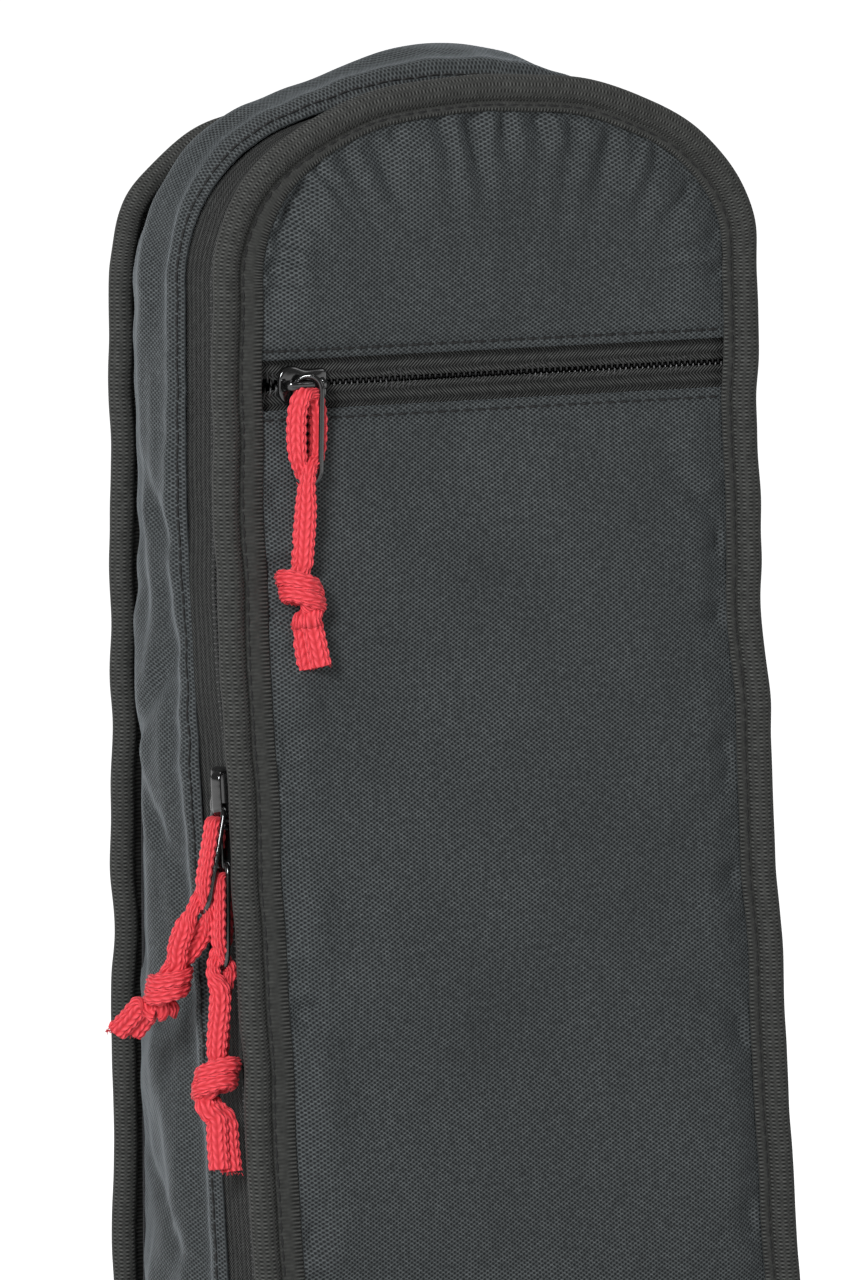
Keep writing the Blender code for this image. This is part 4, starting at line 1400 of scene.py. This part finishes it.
def pocket_zip():
    """Tapes and coils of the pocket zip. Left of the slider the two halves part."""
    half = HALF_WIDTH - PANEL_INSET
    slider_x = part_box("pocket_slider")[0].x
    x = np.linspace(-half, half, 240)
    parting = 1.3 * MM * np.clip((slider_x + 2 * MM - x) / (7 * MM), 0, 1) ** 0.8
    depth = FACE_TOP + 1.7 * MM
    for side, way, phase in (("upper", 1, 0.0), ("lower", -1, math.pi)):
        edge = POCKET_ZIP_Z + way * (0.6 * MM + parting)
        far = POCKET_ZIP_Z + way * 13.5 * MM
        share = np.linspace(0, 1, 16)[:, None]
        z = edge + (far - edge) * share
        wave = waves(91, 6, 12 * MM, 30 * MM)(x) * 0.12 * MM
        points = np.stack((np.broadcast_to(x, z.shape), depth + wave + 0 * z, z), -1)
        cloth = surface_cloth(np.abs(z - POCKET_ZIP_Z), np.broadcast_to(x, z.shape))
        piece = sheet(f"pocket_tape_{side}_cloth", points, cloth, "zip_tape", 0.5 * MM)
        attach(piece, "front_flap")
        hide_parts(f"pocket_tape_{side}")
        coil_z = POCKET_ZIP_Z + way * (1.3 * MM + parting)
        axis = np.column_stack((x, np.full_like(x, depth + 0.8 * MM), coil_z))
        deep = np.tile((0.0, 0.0, way * 1.55 * MM), (len(x), 1))
        outward = np.tile((0.0, -0.6 * MM, 0.0), (len(x), 1))
        coil(f"pocket_coil_{side}_turns", f"pocket_coil_{side}", "front_flap", axis, deep, outward, phase)


# ---------------------------------------------------------------- back, base and handle


def back_side():
    """Back panel over its foam, and the lining inside."""
    for name, node, face, inset, way, finish, seed in (
        ("back_cloth", "back_panel", BACK_Y - 0.4 * MM, 7.4 * MM, 1, "oxford_cloth", 101),
        ("back_inner_cloth", "back_lining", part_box("back_lining")[0].y, 4.5 * MM, -1, "lining_cloth", 107),
    ):
        x, z = panel_grid(inset, 110, 330, HEIGHT - BACK_TOP_Z)
        room, along = edge_distance(x, z, inset)
        full = fill(room, 5 * MM)
        pucker = waves(seed, 9, 9 * MM, 18 * MM)(along) * decay(room, 8 * MM) * full * 0.4 * MM
        sag = ripples(seed + 1, 9, 40 * MM, 100 * MM)(x, z) * full * 0.30 * MM
        y = face + way * (0.9 * MM * full + pucker + sag)
        piece = sheet(name, np.stack((x, y, z), -1), surface_cloth(x, z), finish, 0.5 * MM)
        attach(piece, "shell")
        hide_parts(node)


def handle():
    """Webbing carry handle on the back, held by a stitched box at each end."""
    low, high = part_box("carry_handle")
    width = high.x - low.x
    half = 0.5 * (high.z - low.z)
    middle = 0.5 * (high.z + low.z)
    end, thickness = 24 * MM, 2.2 * MM
    lift = high.y - BACK_Y - thickness - 0.6 * MM
    along = np.linspace(-half, half, 200)
    free = np.clip((half - end - np.abs(along)) / (0.4 * half), 0, 1)
    rise = lift * free**2 * (3 - 2 * free)
    across = np.linspace(-0.5, 0.5, 26)

    def crown(share):
        return 0.25 * MM * (1 - (2 * share) ** 2)

    points = np.empty((len(along), len(across), 3))
    points[..., 0] = across[None, :] * width
    points[..., 1] = (BACK_Y + 1.2 * MM + rise)[:, None] + thickness - 0.6 * MM + crown(across)[None, :]
    points[..., 2] = middle + along[:, None]
    cloth = surface_cloth(across[None, :] * width, lengths(np.column_stack((along, rise)))[:, None])
    piece = sheet("webbing_handle", points, cloth, "webbing", 1.9 * MM)
    rounding = piece.modifiers.new("rounding", "BEVEL")
    rounding.width = 0.5 * MM
    rounding.segments = 2
    rounding.limit_method = "ANGLE"
    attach(piece, "shell")
    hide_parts("carry_handle")
    lines = []
    for way in (-1, 1):
        outer = middle + way * (half - 3 * MM)
        inner = middle + way * (half - end + 3 * MM)
        edge = 0.5 * width - 2.5 * MM
        corners = [(-edge, outer), (edge, outer), (edge, inner), (-edge, inner)]
        corners += [(-edge, outer), (edge, inner)]
        route = []
        for (x0, z0), (x1, z1) in zip(corners, corners[1:]):
            for share in np.linspace(0, 1, 12, endpoint=False):
                x = x0 + (x1 - x0) * share
                over = BACK_Y + 1.2 * MM + thickness - 0.6 * MM + crown(x / width)
                route.append((x, over + 0.1 * MM, z0 + (z1 - z0) * share))
        lines.append((route, np.tile((0.0, 1.0, 0.0), (len(route), 1))))
    stitches("handle_stitching", "shell", lines, radius=0.3 * MM)


def base():
    """Cloth round the base, and the strip that joins the base to the flap and bends at the hinge."""
    low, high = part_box("base_panel")
    x = np.linspace(low.x - 3.5 * MM, high.x + 3.5 * MM, 60)
    y = np.linspace(low.y, high.y + 2.0 * MM, 50)[:, None]
    z = 0.05 * MM + 0.12 * MM * (1 + ripples(111, 9, 18 * MM, 40 * MM)(x[None, :], y))
    points = np.stack((np.broadcast_to(x, z.shape), np.broadcast_to(y, z.shape), z), -1)
    cloth = surface_cloth(points[..., 0], points[..., 1])
    piece = sheet("base_cloth", points, cloth, "oxford_cloth", 1.0 * MM)
    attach(piece, "shell")
    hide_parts("base_panel")
    hinge_half = 52 * MM
    x = np.linspace(-hinge_half, hinge_half, 80)
    turn = np.linspace(0, 1, 22)[:, None]
    y = low.y + 6 * MM - 7.2 * MM * turn
    z = 1.6 * MM + 4.5 * MM * turn**2
    points = np.stack((np.broadcast_to(x, y.shape[:1] + x.shape), y + 0 * x, z + 0 * x), -1)
    cloth = surface_cloth(points[..., 0], lengths(points[:, 0])[:, None])
    faces = outward_faces(points, grid_faces(*points.shape[:2]))
    piece = finished("hinge_cloth", mesh_of("hinge_cloth", points, faces, cloth), "lining_cloth")
    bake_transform(piece)


def kept_nodes():
    """Parts of the frame that stay as they are, with a finish of their own."""
    for node, finish in (("back_foam", "foam"), ("base_board", "base_board")):
        solid = frame["nodes"][node]
        for held in solid.material_slots:
            held.material = FINISHES[finish]


camera()
cords()
studio()
wire_pullers()
slider_bodies()
front_panels()
bindings()
gusset()
main_zip()
pocket_zip()
back_side()
handle()
base()
kept_nodes()
